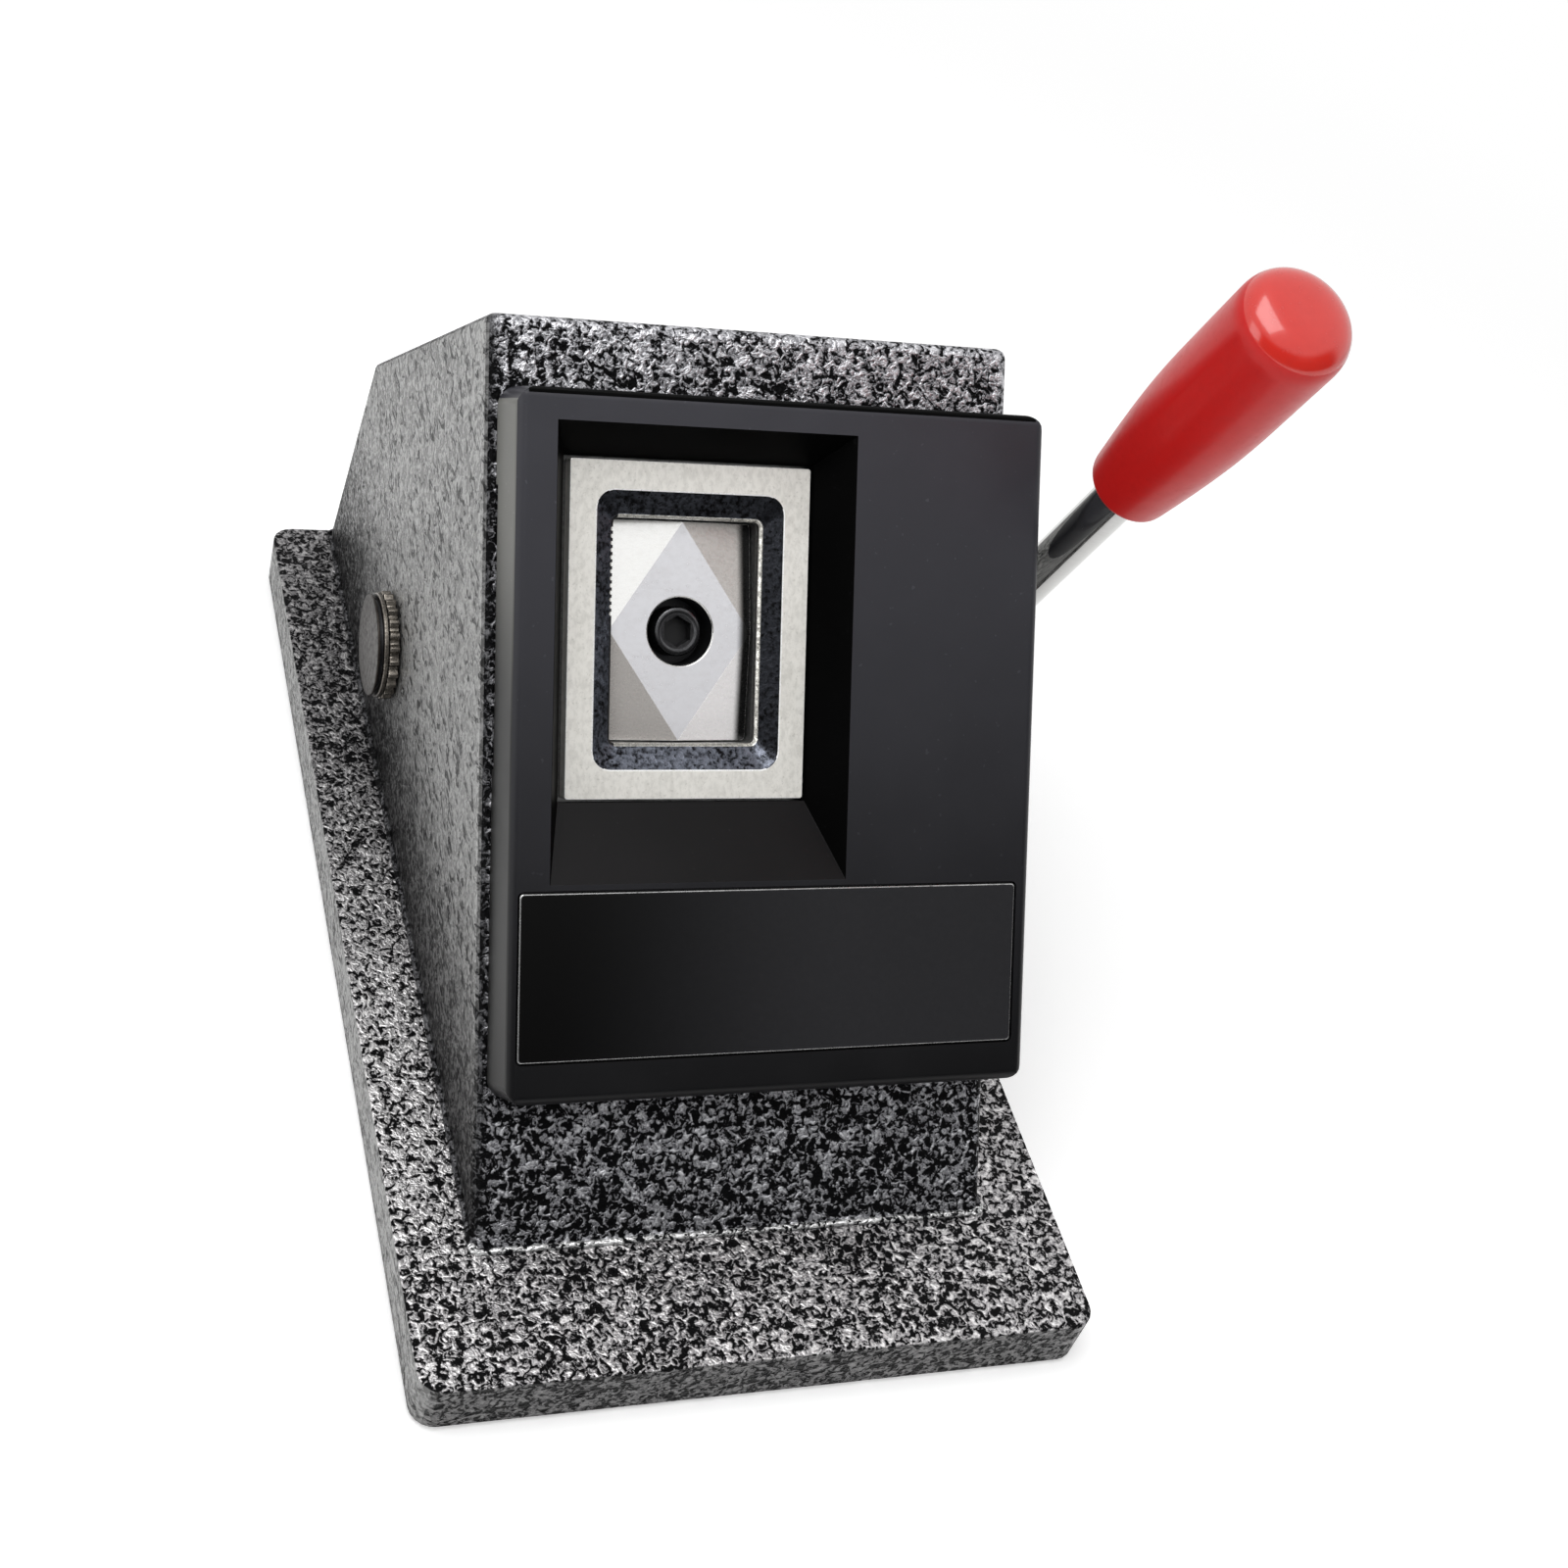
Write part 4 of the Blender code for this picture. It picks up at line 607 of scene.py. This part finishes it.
room = {"white": 1.0, "fill": 0.4, "dark": 0.03, "low": 0.44, "high": 0.66, "front": (-0.45, -0.15),
        "floorSize": 6, "floorY": 2.2, "floorGlow": 0.32, "floorFade": (0.35, 0.75)}
world = bpy.data.worlds.new("paleRoom")
bpy.context.scene.world = world
world.use_nodes = True
tree = world.node_tree
background = tree.nodes["Background"]
lightPath = addNode(tree, "LightPath")
skyY, skyZ = axesOf(tree, addNode(tree, "TexCoord").outputs["Generated"])[1:]
# mirrors see a white studio that is dark in front, below the edge of the overhead softbox
inFront = smoothStep(tree, skyY, *room["front"], 1.0, 0.0)
darkness = times(tree, inFront, smoothStep(tree, skyZ, room["low"], room["high"], 1.0, 0.0))
mirrored = mixColour(tree, darkness, greyOf(room["white"]), greyOf(room["dark"]))
lit = mixColour(tree, lightPath.outputs["Is Glossy Ray"], greyOf(room["fill"]), mirrored)
seen = larger(tree, lightPath.outputs["Is Camera Ray"], lightPath.outputs["Is Transmission Ray"])
tree.links.new(mixColour(tree, seen, lit, greyOf(room["white"])), background.inputs["Color"])

deselectAll()
bpy.ops.mesh.primitive_plane_add(size=room["floorSize"], location=(0, room["floorY"], 0))
floor = bpy.context.object
applyPlace(floor)
floor.name = "paleFloor"
floorMaterial, floorShader = newMaterial("paleFloor")
floorShader.inputs["Base Color"].default_value = hexColour("#F4F4F4")
floorShader.inputs["Roughness"].default_value = 0.9
tree = floorMaterial.node_tree
lightPath = addNode(tree, "LightPath")
# eye and mirrors see a whiter floor than the one that lights the object, and it ends in white
blend = addNode(tree, "AddShader")
feed(tree, blend.inputs, (floorShader.outputs[0], glow(tree, room["floorGlow"])))
distance = addNode(tree, "VectorMath", operation="LENGTH")
tree.links.new(addNode(tree, "TexCoord").outputs["Object"], distance.inputs[0])
seen = larger(tree, lightPath.outputs["Is Camera Ray"], lightPath.outputs["Is Glossy Ray"])
nearby = mixShaders(tree, seen, floorShader.outputs[0], blend.outputs[0])
faraway = times(tree, lightPath.outputs["Is Camera Ray"],
                smoothStep(tree, distance.outputs["Value"], *room["floorFade"]))
tree.links.new(mixShaders(tree, faraway, nearby, glow(tree, room["white"])),
               tree.nodes["Material Output"].inputs["Surface"])
floor.data.materials.append(floorMaterial)
bpy.context.scene.view_settings.view_transform = "Standard"
print("camera, lamps and floor set")


# ways of making pieces

def roundedPlane(width, height, radius, z, segments=8):
    deselectAll()
    bpy.ops.mesh.primitive_plane_add(size=1, location=(0, 0, z))
    sheet = bpy.context.object
    sheet.scale = (width, height, 1)
    applyPlace(sheet)
    editAll(sheet)
    bpy.ops.mesh.bevel(offset=radius, offset_type="OFFSET", segments=segments, affect="VERTICES")
    bpy.ops.object.mode_set(mode="OBJECT")
    return sheet


def bridgedBlock(name, outlines):
    # rounded rectangles (z, width, height, radius) bridged into one closed block
    sheets = [roundedPlane(width, height, radius, z) for z, width, height, radius in outlines]
    deselectAll()
    for sheet in sheets:
        sheet.select_set(True)
    bpy.context.view_layer.objects.active = sheets[0]
    bpy.ops.object.join()
    block = bpy.context.object
    block.name = name
    bpy.ops.object.mode_set(mode="EDIT")
    bpy.ops.mesh.select_mode(type="EDGE")
    bpy.ops.mesh.select_all(action="SELECT")
    bpy.ops.mesh.delete(type="ONLY_FACE")
    bpy.ops.mesh.select_all(action="SELECT")
    bpy.ops.mesh.bridge_edge_loops()
    bpy.ops.object.mode_set(mode="OBJECT")
    near = 1e-7
    for z in (outlines[0][0], outlines[-1][0]):
        editEdges(block, lambda a, b: abs(a.z - z) < near and abs(b.z - z) < near)
        bpy.ops.mesh.edge_face_add()
        bpy.ops.object.mode_set(mode="OBJECT")
    fixNormals(block)
    return block


def ringedPiece(name, rings, vertices=48):
    # turned along z: each ring is extruded from the last and scaled; rings are (z, radius)
    deselectAll()
    bpy.ops.mesh.primitive_circle_add(vertices=vertices, radius=rings[0][1], fill_type="NGON",
                                      location=(0, 0, rings[0][0]))
    piece = bpy.context.object
    piece.name = name
    applyPlace(piece)
    bpy.ops.object.mode_set(mode="EDIT")
    bpy.ops.mesh.select_mode(type="FACE")
    bpy.ops.mesh.select_all(action="SELECT")
    last = rings[0]
    for ring in rings[1:]:
        bpy.ops.mesh.extrude_region_move(TRANSFORM_OT_translate={"value": (0, 0, ring[0] - last[0])})
        size = ring[1] / last[1]
        bpy.ops.transform.resize(value=(size, size, 1), center_override=(0, 0, ring[0]))
        last = ring
    bpy.ops.mesh.select_all(action="DESELECT")
    bpy.ops.object.mode_set(mode="OBJECT")
    fixNormals(piece)
    return piece


def carve(piece, cutter, operation="DIFFERENCE"):
    tool = piece.modifiers.new("carve", "BOOLEAN")
    tool.operation = operation
    tool.solver = "EXACT"
    tool.object = cutter
    applyModifiers(piece)
    bpy.data.objects.remove(cutter, do_unlink=True)


def easeEdges(piece, width, segments=2, angle=30):
    tool = piece.modifiers.new("ease", "BEVEL")
    tool.width = width
    tool.segments = segments
    tool.limit_method = "ANGLE"
    tool.angle_limit = radians(angle)
    tool.use_clamp_overlap = True
    tool.harden_normals = False
    applyModifiers(piece)


def copyNode(nodeName):
    # the CAD solid again, free of its body and with its loose triangles merged
    piece = nodes[nodeName].copy()
    piece.data = nodes[nodeName].data.copy()
    piece.parent = None
    piece.matrix_world = Matrix.Identity(4)
    bpy.context.collection.objects.link(piece)
    fixNormals(piece)
    return piece


def fineCopy(nodeName, width, keep=None):
    # its sharp edges are eased as a moulded or turned part's are; outside keep it is trimmed away
    piece = copyNode(nodeName)
    editAll(piece)
    bpy.ops.mesh.dissolve_limited(angle_limit=radians(0.5))
    bpy.ops.object.mode_set(mode="OBJECT")
    if keep:
        carve(piece, keep, operation="INTERSECT")
    easeEdges(piece, width)
    smoothPiece(piece, 40)
    return piece


def giveFaces(piece, slotIndex, test):
    # test gets a face's centre and normal
    for face in piece.data.polygons:
        if test(face.center, face.normal):
            face.material_index = slotIndex


anyFacing = (-2.0, 2.0)


def paintFaces(piece, place, slotIndex, facing, test=None):
    # facing is how squarely a face looks out of the place, and test gets its centre there
    out, back = place.to_3x3() @ Vector((0, 0, 1)), place.inverted()
    giveFaces(piece, slotIndex, lambda c, n: facing[0] < n.dot(out) < facing[1]
              and (test is None or test(back @ c)))


def within(point, reach):
    return abs(point.x) < reach[0] and abs(point.y) < reach[1]


def beyond(point, reach):
    return abs(point.x) > reach[0] or abs(point.y) > reach[1]


# return springs, held by the frame behind the gibs and pressed by the ram's pins


def makeSprings():
    for side in ("left", "right"):
        nodeName = side + "_return_spring"
        spring = copyNode(nodeName)
        smoothPiece(spring, 60)
        settle(spring, side + "ReturnSpring", springSteel, None, [nodeName])
        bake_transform(spring)


# die plate with its flared window

die = {
    "width": 0.054, "height": 0.0717, "under": 0.001, "top": 0.005, "corner": 0.0006, "easing": 0.00028,
    # width, height and corner of the opening, of the lip above it and of the flare's rim
    "opening": (0.033, 0.048, 0.0012), "lip": (0.0343, 0.0493, 0.0019), "rim": (0.0423, 0.0594, 0.0042),
    "lipLow": 0.0019, "lipHigh": 0.0026, "overrun": 0.001,
    "notches": 13, "notchGap": 0.0015, "notchSize": 0.0005, "notchLong": 0.003, "notchIn": 0.0003,
    "notchStart": 0.0035,
}
dieZones = {
    # reaches across and up from the window's middle, that part its faces
    "inside": (0.02, 0.03), "outerEdge": (0.0262, 0.035), "lip": (0.018, 0.0253),
    "flare": (0.0225, 0.031), "shadedFlare": (0.0185, 0.026), "rimEdge": (0.0207, 0.0292),
    "leftWall": (-0.018, -0.0155), "wallLow": 0.0015, "lipOver": 0.0001,
}


def makeDiePlate():
    plate = bridgedBlock("diePlate", [(die[z], die["width"], die["height"], die["corner"])
                                      for z in ("under", "top")])
    grow = die["overrun"] / (die["top"] - die["lipHigh"])
    over = [rim + (rim - lip) * grow for rim, lip in zip(die["rim"], die["lip"])]
    window = bridgedBlock("windowCutter", [
        (-die["overrun"], *die["opening"]), (die["lipLow"], *die["opening"]),
        (die["lipHigh"], *die["lip"]), (die["top"] + die["overrun"], *over)])
    carve(plate, window)
    easeEdges(plate, die["easing"], 2, 20)
    deselectAll()
    bpy.ops.mesh.primitive_cylinder_add(
        vertices=10, radius=die["notchSize"], depth=die["notchLong"],
        location=(-die["opening"][0] / 2 - die["notchIn"], die["notchStart"], die["lipHigh"]))
    notches = bpy.context.object
    applyPlace(notches)
    row = notches.modifiers.new("row", "ARRAY")
    row.count = die["notches"]
    row.use_relative_offset = False
    row.use_constant_offset = True
    row.constant_offset_displace = (0, die["notchGap"], 0)
    applyModifiers(notches)
    carve(plate, notches)
    applyPlace(plate, windowPlace)
    smoothPiece(plate, 18)
    settle(plate, "diePlate", dieSteel, "frame", ["die_plate"])
    for material in (flareSteel, lipSteel, shadeSteel, edgeHighlight, flareShade):
        plate.data.materials.append(material)
    zones, lipHigh = dieZones, die["lipHigh"]
    # the opening's walls in painted shade, the plate's outer edges as a painted highlight, the lip and
    # the flare
    paintFaces(plate, windowPlace, 3, (-0.2, 0.2), lambda p: within(p, zones["inside"]))
    paintFaces(plate, windowPlace, 4, (0.2, 0.97), lambda p: beyond(p, zones["outerEdge"]))
    paintFaces(plate, windowPlace, 2, (0.3, 0.97),
               lambda p: within(p, zones["lip"]) and p.z < lipHigh + zones["lipOver"])
    paintFaces(plate, windowPlace, 1, (0.8, 0.97), lambda p: within(p, zones["flare"]) and p.z > lipHigh)
    # painted shade: the flare is darker on its right and at its top
    (right, upper), (rightEnd, upperEnd) = zones["shadedFlare"], zones["flare"]
    paintFaces(plate, windowPlace, 5, (0.8, 0.97),
               lambda p: p.z > lipHigh and (right < p.x < rightEnd or upper < p.y < upperEnd))
    # the notched left wall in painted shade, and a painted highlight on the edge round the flare's rim
    paintFaces(plate, windowPlace, 3, (-2.0, 0.8),
               lambda p: zones["leftWall"][0] < p.x < zones["leftWall"][1]
               and abs(p.y) < zones["lip"][1] and p.z > zones["wallLow"])
    paintFaces(plate, windowPlace, 4, (0.87, 0.998),
               lambda p: within(p, zones["flare"]) and beyond(p, zones["rimEdge"]))


makeDiePlate()


# punch and its socket screw

punch = {
    "width": 0.0324, "height": 0.0474, "corner": 0.0009, "top": -0.0012, "deep": 0.022, "drop": 0.0022,
    "easing": 0.0001, "overrun": 0.002, "clearance": 0.0003,
    "bore": 0.00735, "boreFloor": -0.0091, "boreChamfer": 0.0003, "boreDark": -0.0018, "boreOver": 0.0001,
    "screwRadius": 0.0054, "screwTop": -0.0028, "screwHead": 0.006, "screwEdge": 0.0003,
    "crownLow": 0.0007, "crownHigh": 0.0002, "crownIn": 0.0008,
    "socket": 0.0035, "socketDeep": 0.0035, "socketDark": 0.002,
    "shank": 0.003, "shankLong": 0.030, "tipLong": 0.0006, "tipShare": 0.8,
}


def makePunch():
    top, halfWide, halfHigh = punch["top"], punch["width"] / 2, punch["height"] / 2
    block = bridgedBlock("punch", [(z, punch["width"], punch["height"], punch["corner"])
                                   for z in (top - punch["deep"], top)])
    # four sloping cuts leave a flat diamond between them
    for sideX in (-1, 1):
        for sideY in (-1, 1):
            middle = Vector((sideX * halfWide, 0, top))
            slope = Vector((sideX * punch["drop"] / halfWide, sideY * punch["drop"] / halfHigh, 1))
            editAll(block)
            bpy.ops.mesh.bisect(plane_co=middle, plane_no=slope.normalized(), use_fill=True,
                                clear_outer=True)
            bpy.ops.object.mode_set(mode="OBJECT")
    fixNormals(block)
    chamfer, overrun = punch["boreChamfer"], punch["overrun"]
    bore = ringedPiece("boreCutter", [(punch["boreFloor"], punch["bore"]), (top - chamfer, punch["bore"]),
                                      (top + overrun, punch["bore"] + chamfer + overrun)], 64)
    carve(block, bore)
    holeRadius = punch["shank"] + punch["clearance"]
    hole = ringedPiece("holeCutter", [(top - 2 * punch["deep"], holeRadius), (top, holeRadius)], 32)
    carve(block, hole)
    easeEdges(block, punch["easing"], 2, 6)
    applyPlace(block, windowPlace)
    smoothPiece(block, 6)
    settle(block, "punchBlock", punchSteel, "ram", ["punch"])
    for material in (punchFace, punchShadedFacet, blackOxide, punchLitFacet, shadeSteel):
        block.data.materials.append(material)
    # the diamond, two facets darkened as painted shade, the palest one as a painted highlight, the sides
    # in painted shade, and the screw's bore painted black oxide as painted shade
    paintFaces(block, windowPlace, 1, (0.9997, 2.0))
    paintFaces(block, windowPlace, 2, (0.97, 0.9995), lambda p: p.x * p.y > 0)
    paintFaces(block, windowPlace, 4, (0.97, 0.9995), lambda p: p.x > 0 and p.y < 0)
    paintFaces(block, windowPlace, 5, (-2.0, 0.6))
    paintFaces(block, windowPlace, 3, anyFacing,
               lambda p: p.to_2d().length < punch["bore"] + punch["boreOver"] and p.z < punch["boreDark"])


def makePunchScrew():
    top, radius, edge, shank = punch["screwTop"], punch["screwRadius"], punch["screwEdge"], punch["shank"]
    low = top - punch["screwHead"]
    tip = low - punch["shankLong"]
    screw = ringedPiece("screw", [
        (tip, shank * punch["tipShare"]), (tip + punch["tipLong"], shank), (low, shank),
        (low, radius - edge), (low + edge, radius), (top - punch["crownLow"], radius),
        (top - punch["crownHigh"], radius - edge), (top, radius - punch["crownIn"]),
        (top, punch["socket"] + punch["crownIn"]), (top - edge, punch["socket"] + edge)], 64)
    deselectAll()
    bpy.ops.mesh.primitive_cylinder_add(vertices=6, radius=punch["socket"], depth=2 * punch["socketDeep"],
                                        location=(0, 0, top))
    socket = bpy.context.object
    applyPlace(socket)
    carve(screw, socket)
    easeEdges(screw, punch["easing"], 2, 50)
    applyPlace(screw, windowPlace)
    smoothPiece(screw, 35)
    settle(screw, "punchCapScrew", blackOxide, "ram", ["punch_screw"])
    screw.data.materials.append(oxideGlossHighlight)
    screw.data.materials.append(shadeSteel)
    # the crown's slopes are glossier and paler as a painted highlight, and the socket's bottom is painted
    # dark as painted shade
    paintFaces(screw, windowPlace, 1, (0.15, 0.97))
    paintFaces(screw, windowPlace, 2, anyFacing,
               lambda p: p.to_2d().length < punch["socket"] and p.z < top - punch["socketDark"])


makePunch()
makePunchScrew()
makeSprings()


# label plate

label = {"left": -0.0561, "right": 0.0579, "low": 0.0435, "high": 0.0791, "top": 0.0142, "thick": 0.001,
         "corner": 0.0008, "edge": 0.0003}


def makeLabel():
    wide, high, edge = label["right"] - label["left"], label["high"] - label["low"], label["edge"]
    middle = facePlace @ Matrix.Translation(((label["left"] + label["right"]) / 2,
                                             (label["low"] + label["high"]) / 2, label["top"]))
    # height, and how much narrower than the plate, in widths of its edge
    plate = bridgedBlock("label", [
        (z, wide - edge * inset, high - edge * inset, label["corner"])
        for z, inset in ((-label["thick"], 0), (-edge, 0), (-edge * 0.3, 0.8), (0, 2))])
    applyPlace(plate, middle)
    smoothPiece(plate, 40)
    settle(plate, "labelPlate", labelBlack, "frame", ["label_plate"])
    plate.data.materials.append(labelRimHighlight)
    # painted highlight on the bevelled rim
    paintFaces(plate, facePlace, 1, (0.2, 0.98))


makeLabel()


# chrome rod, bent once, and the red grip

lever = {"radius": 0.0052, "sides": 48, "start": 0.0085, "lean": 39.0, "upperLean": 24.3,
         "bendAt": 0.068, "bendRadius": 0.090, "bendSteps": 20, "gripStart": 0.0672, "gripDeep": 0.0373}


def leanWay(lean):
    return Vector((0, -sin(radians(lean)), cos(radians(lean))))


def makeRod():
    lower, upper, lean = leanWay(lever["lean"]), leanWay(lever["upperLean"]), radians(lever["lean"])
    bend = radians(lever["lean"] - lever["upperLean"])
    tangent = lever["bendRadius"] * tan(bend / 2)
    start, corner = leverFoot + lower * lever["start"], leverFoot + lower * lever["bendAt"]
    arcStart = corner - lower * tangent
    centre = arcStart + Vector((0, cos(lean), sin(lean))) * lever["bendRadius"]
    deselectAll()
    bpy.ops.mesh.primitive_circle_add(vertices=lever["sides"], radius=lever["radius"], fill_type="NGON",
                                      location=start, rotation=(lean, 0, 0))
    rod = bpy.context.object
    applyPlace(rod)
    bpy.ops.object.mode_set(mode="EDIT")
    bpy.ops.mesh.select_mode(type="FACE")
    bpy.ops.mesh.select_all(action="SELECT")
    bpy.ops.mesh.extrude_region_move(TRANSFORM_OT_translate={"value": arcStart - start})
    bpy.ops.mesh.spin(steps=lever["bendSteps"], angle=bend, center=centre, axis=(1, 0, 0))
    arcEnd = corner + upper * tangent
    tip = corner + upper * (lever["gripStart"] + lever["gripDeep"])
    bpy.ops.mesh.extrude_region_move(TRANSFORM_OT_translate={"value": tip - arcEnd})
    bpy.ops.object.mode_set(mode="OBJECT")
    fixNormals(rod)
    smoothPiece(rod, 50)
    settle(rod, "chromeRod", rodChrome, "lever", ["lever_rod"])


grip = {"long": 0.0716, "mouth": 0.0096, "mouthFillet": 0.0016, "full": 0.0124, "shoulder": 0.58,
        "endLong": 0.0088, "endPower": 3.0, "bore": 0.0055, "rodRoom": 0.0003, "sides": 64,
        "sideSteps": 20, "endSteps": 24, "glossFrom": 0.0045}


def makeGrip():
    mouth, full, fillet = grip["mouth"], grip["full"], grip["mouthFillet"]
    rings = [(lever["gripDeep"] + grip["rodRoom"], grip["bore"]), (0, grip["bore"]), (0, mouth - fillet)]
    rings += [(fillet * (1 - cos(turn)), mouth - fillet * (1 - sin(turn)))
              for turn in (pi / 8, pi / 4, 3 * pi / 8)]
    # the side swells from the mouth to the shoulder
    shoulder = grip["long"] * grip["shoulder"]
    for step in range(grip["sideSteps"], -1, -1):
        share = step / grip["sideSteps"]
        rings.append((shoulder + (fillet - shoulder) * share,
                      full - (full - mouth) * (1 - cos(share * pi / 2))))
    # the end closes in one soft curve, squarer than a ball
    edgeZ, power = grip["long"] - grip["endLong"], 2 / grip["endPower"]
    for step in range(grip["endSteps"]):
        turn = pi / 2 * step / grip["endSteps"]
        rings.append((edgeZ + grip["endLong"] * sin(turn) ** power, full * cos(turn) ** power))
    piece = ringedPiece("grip", rings, grip["sides"])
    along = leanWay(lever["upperLean"])
    foot = leverFoot + leanWay(lever["lean"]) * lever["bendAt"] + along * lever["gripStart"]
    applyPlace(piece, Matrix.Translation(foot) @ Matrix.Rotation(radians(lever["upperLean"]), 4, "X"))
    smoothPiece(piece, 50)
    settle(piece, "redGrip", gripRed, "lever", ["lever_grip"])
    piece.data.materials.append(gripEndHighlight)
    # painted highlight: the end takes the paler, glossier red
    giveFaces(piece, 1, lambda c, n: (c - foot).dot(along) > edgeZ + grip["glossFrom"])


makeRod()
makeGrip()


# front cover, with its four outer corners rounder than the CAD's

coverLook = {"corner": 0.0044, "spare": 0.00004, "draft": 0.0009, "easing": 0.00035, "overrun": 0.2,
             "recess": (0.0375, 0.056), "leftSide": -0.056}


def makeCover():
    back = facePlace.inverted()
    points = [back @ v.co for v in nodes["front_cover"].data.vertices]
    low = Vector([min(p[i] for p in points) for i in range(3)])
    high = Vector([max(p[i] for p in points) for i in range(3)])
    size, middle = high - low, (low + high) / 2
    # the trimming block narrows as the cover does, and runs past it at both ends
    outlines = []
    for z, share in ((low.z - coverLook["overrun"] * size.z, -coverLook["overrun"]),
                     (high.z + coverLook["overrun"] * size.z, 1 + coverLook["overrun"])):
        wider = coverLook["spare"] - 2 * coverLook["draft"] * share
        outlines.append((z, size.x + wider, size.y + wider, coverLook["corner"]))
    rounded = bridgedBlock("roundedCorners", outlines)
    applyPlace(rounded, facePlace @ Matrix.Translation((middle.x, middle.y, 0)))
    cover = settle(fineCopy("front_cover", coverLook["easing"], rounded), "frontCover", coverBlack,
                   "frame", ["front_cover"])
    for material in (recessShade, coverSideSheen, recessLowShade):
        cover.data.materials.append(material)
    # painted shade in the recess, a painted reflection on the cover's left side, and paler painted shade
    # on the recess's low slope
    out, up = (facePlace.to_3x3() @ Vector(axis) for axis in ((0, 0, 1), (0, 1, 0)))
    paintFaces(cover, windowPlace, 1, (-2.0, 0.97), lambda p: within(p, coverLook["recess"]))
    giveFaces(cover, 2, lambda c, n: c.x < coverLook["leftSide"] and n.x < -0.93)
    giveFaces(cover, 3, lambda c, n: n.dot(out) < 0.97 and n.dot(up) > 0.3
              and abs(c.x - machine["windowX"]) < coverLook["recess"][0]
              and (back @ c).y < machine["windowS"])


makeCover()


# hub, shaft cap and toothed washer with eased edges

turned = {"hubEasing": 0.0003, "capEasing": 0.00012, "washerEasing": 0.00022,
          "capFace": 0.0122, "capRim": 0.0016}     # radius of the cap's plain face, and its rim's depth


def makeCap():
    cap = settle(fineCopy("shaft_cap", turned["capEasing"]), "shaftCap", capShadedZinc, "lever",
                 ["shaft_cap"])
    cap.data.materials.append(blackOxide)
    cap.data.materials.append(zincSteel)
    low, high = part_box("shaft_cap")
    middle = (Vector(low) + Vector(high)) / 2
    face, rim = turned["capFace"], low[0] + turned["capRim"]
    # painted shade: the cap takes a darker zinc and black oxide in its groove; plain zinc on part of the
    # rim
    giveFaces(cap, 1, lambda c, n: (c - middle).yz.length < face and abs(n.x) < 0.5)
    giveFaces(cap, 2, lambda c, n: (c - middle).yz.length > face and c.x > rim)


settle(fineCopy("lever_hub", turned["hubEasing"]), "leverHub", blackOxide, "lever",
       ["lever_hub"])
makeCap()
settle(fineCopy("lock_washer", turned["washerEasing"]), "toothedWasher", zincSteel, "lever",
       ["lock_washer"])


# paint bead where the casting meets the base

bead = {"radius": 0.0009, "left": -0.0614, "right": 0.0592, "front": -0.10455, "back": 0.1357,
        "z": 0.0154, "corner": 0.0015, "cornerSteps": 4, "cuts": 70, "waver": 0.00022,
        "frontDeep": 0.0025}


def makeBead():
    loop = roundedPlane(bead["right"] - bead["left"], bead["back"] - bead["front"], bead["corner"],
                        bead["z"], bead["cornerSteps"])
    applyPlace(loop, Matrix.Translation(((bead["left"] + bead["right"]) / 2,
                                         (bead["front"] + bead["back"]) / 2, 0)))
    editAll(loop)
    bpy.ops.mesh.delete(type="ONLY_FACE")
    bpy.ops.mesh.select_all(action="SELECT")
    bpy.ops.mesh.subdivide(number_cuts=bead["cuts"])
    bpy.ops.transform.vertex_random(offset=bead["waver"], seed=4)
    bpy.ops.object.mode_set(mode="OBJECT")
    bpy.ops.object.convert(target="CURVE")
    loop = bpy.context.object
    loop.data.bevel_depth = bead["radius"]
    loop.data.bevel_resolution = 3
    bpy.ops.object.convert(target="MESH")
    loop = bpy.context.object
    fixNormals(loop)
    smoothPiece(loop, 60)
    settle(loop, "seamBead", beadHighlight, "frame")
    # painted highlight on the seam's front, painted shade on the rest
    loop.data.materials.append(beadShade)
    giveFaces(loop, 1, lambda c, n: c.y > bead["front"] + bead["frontDeep"])


makeBead()
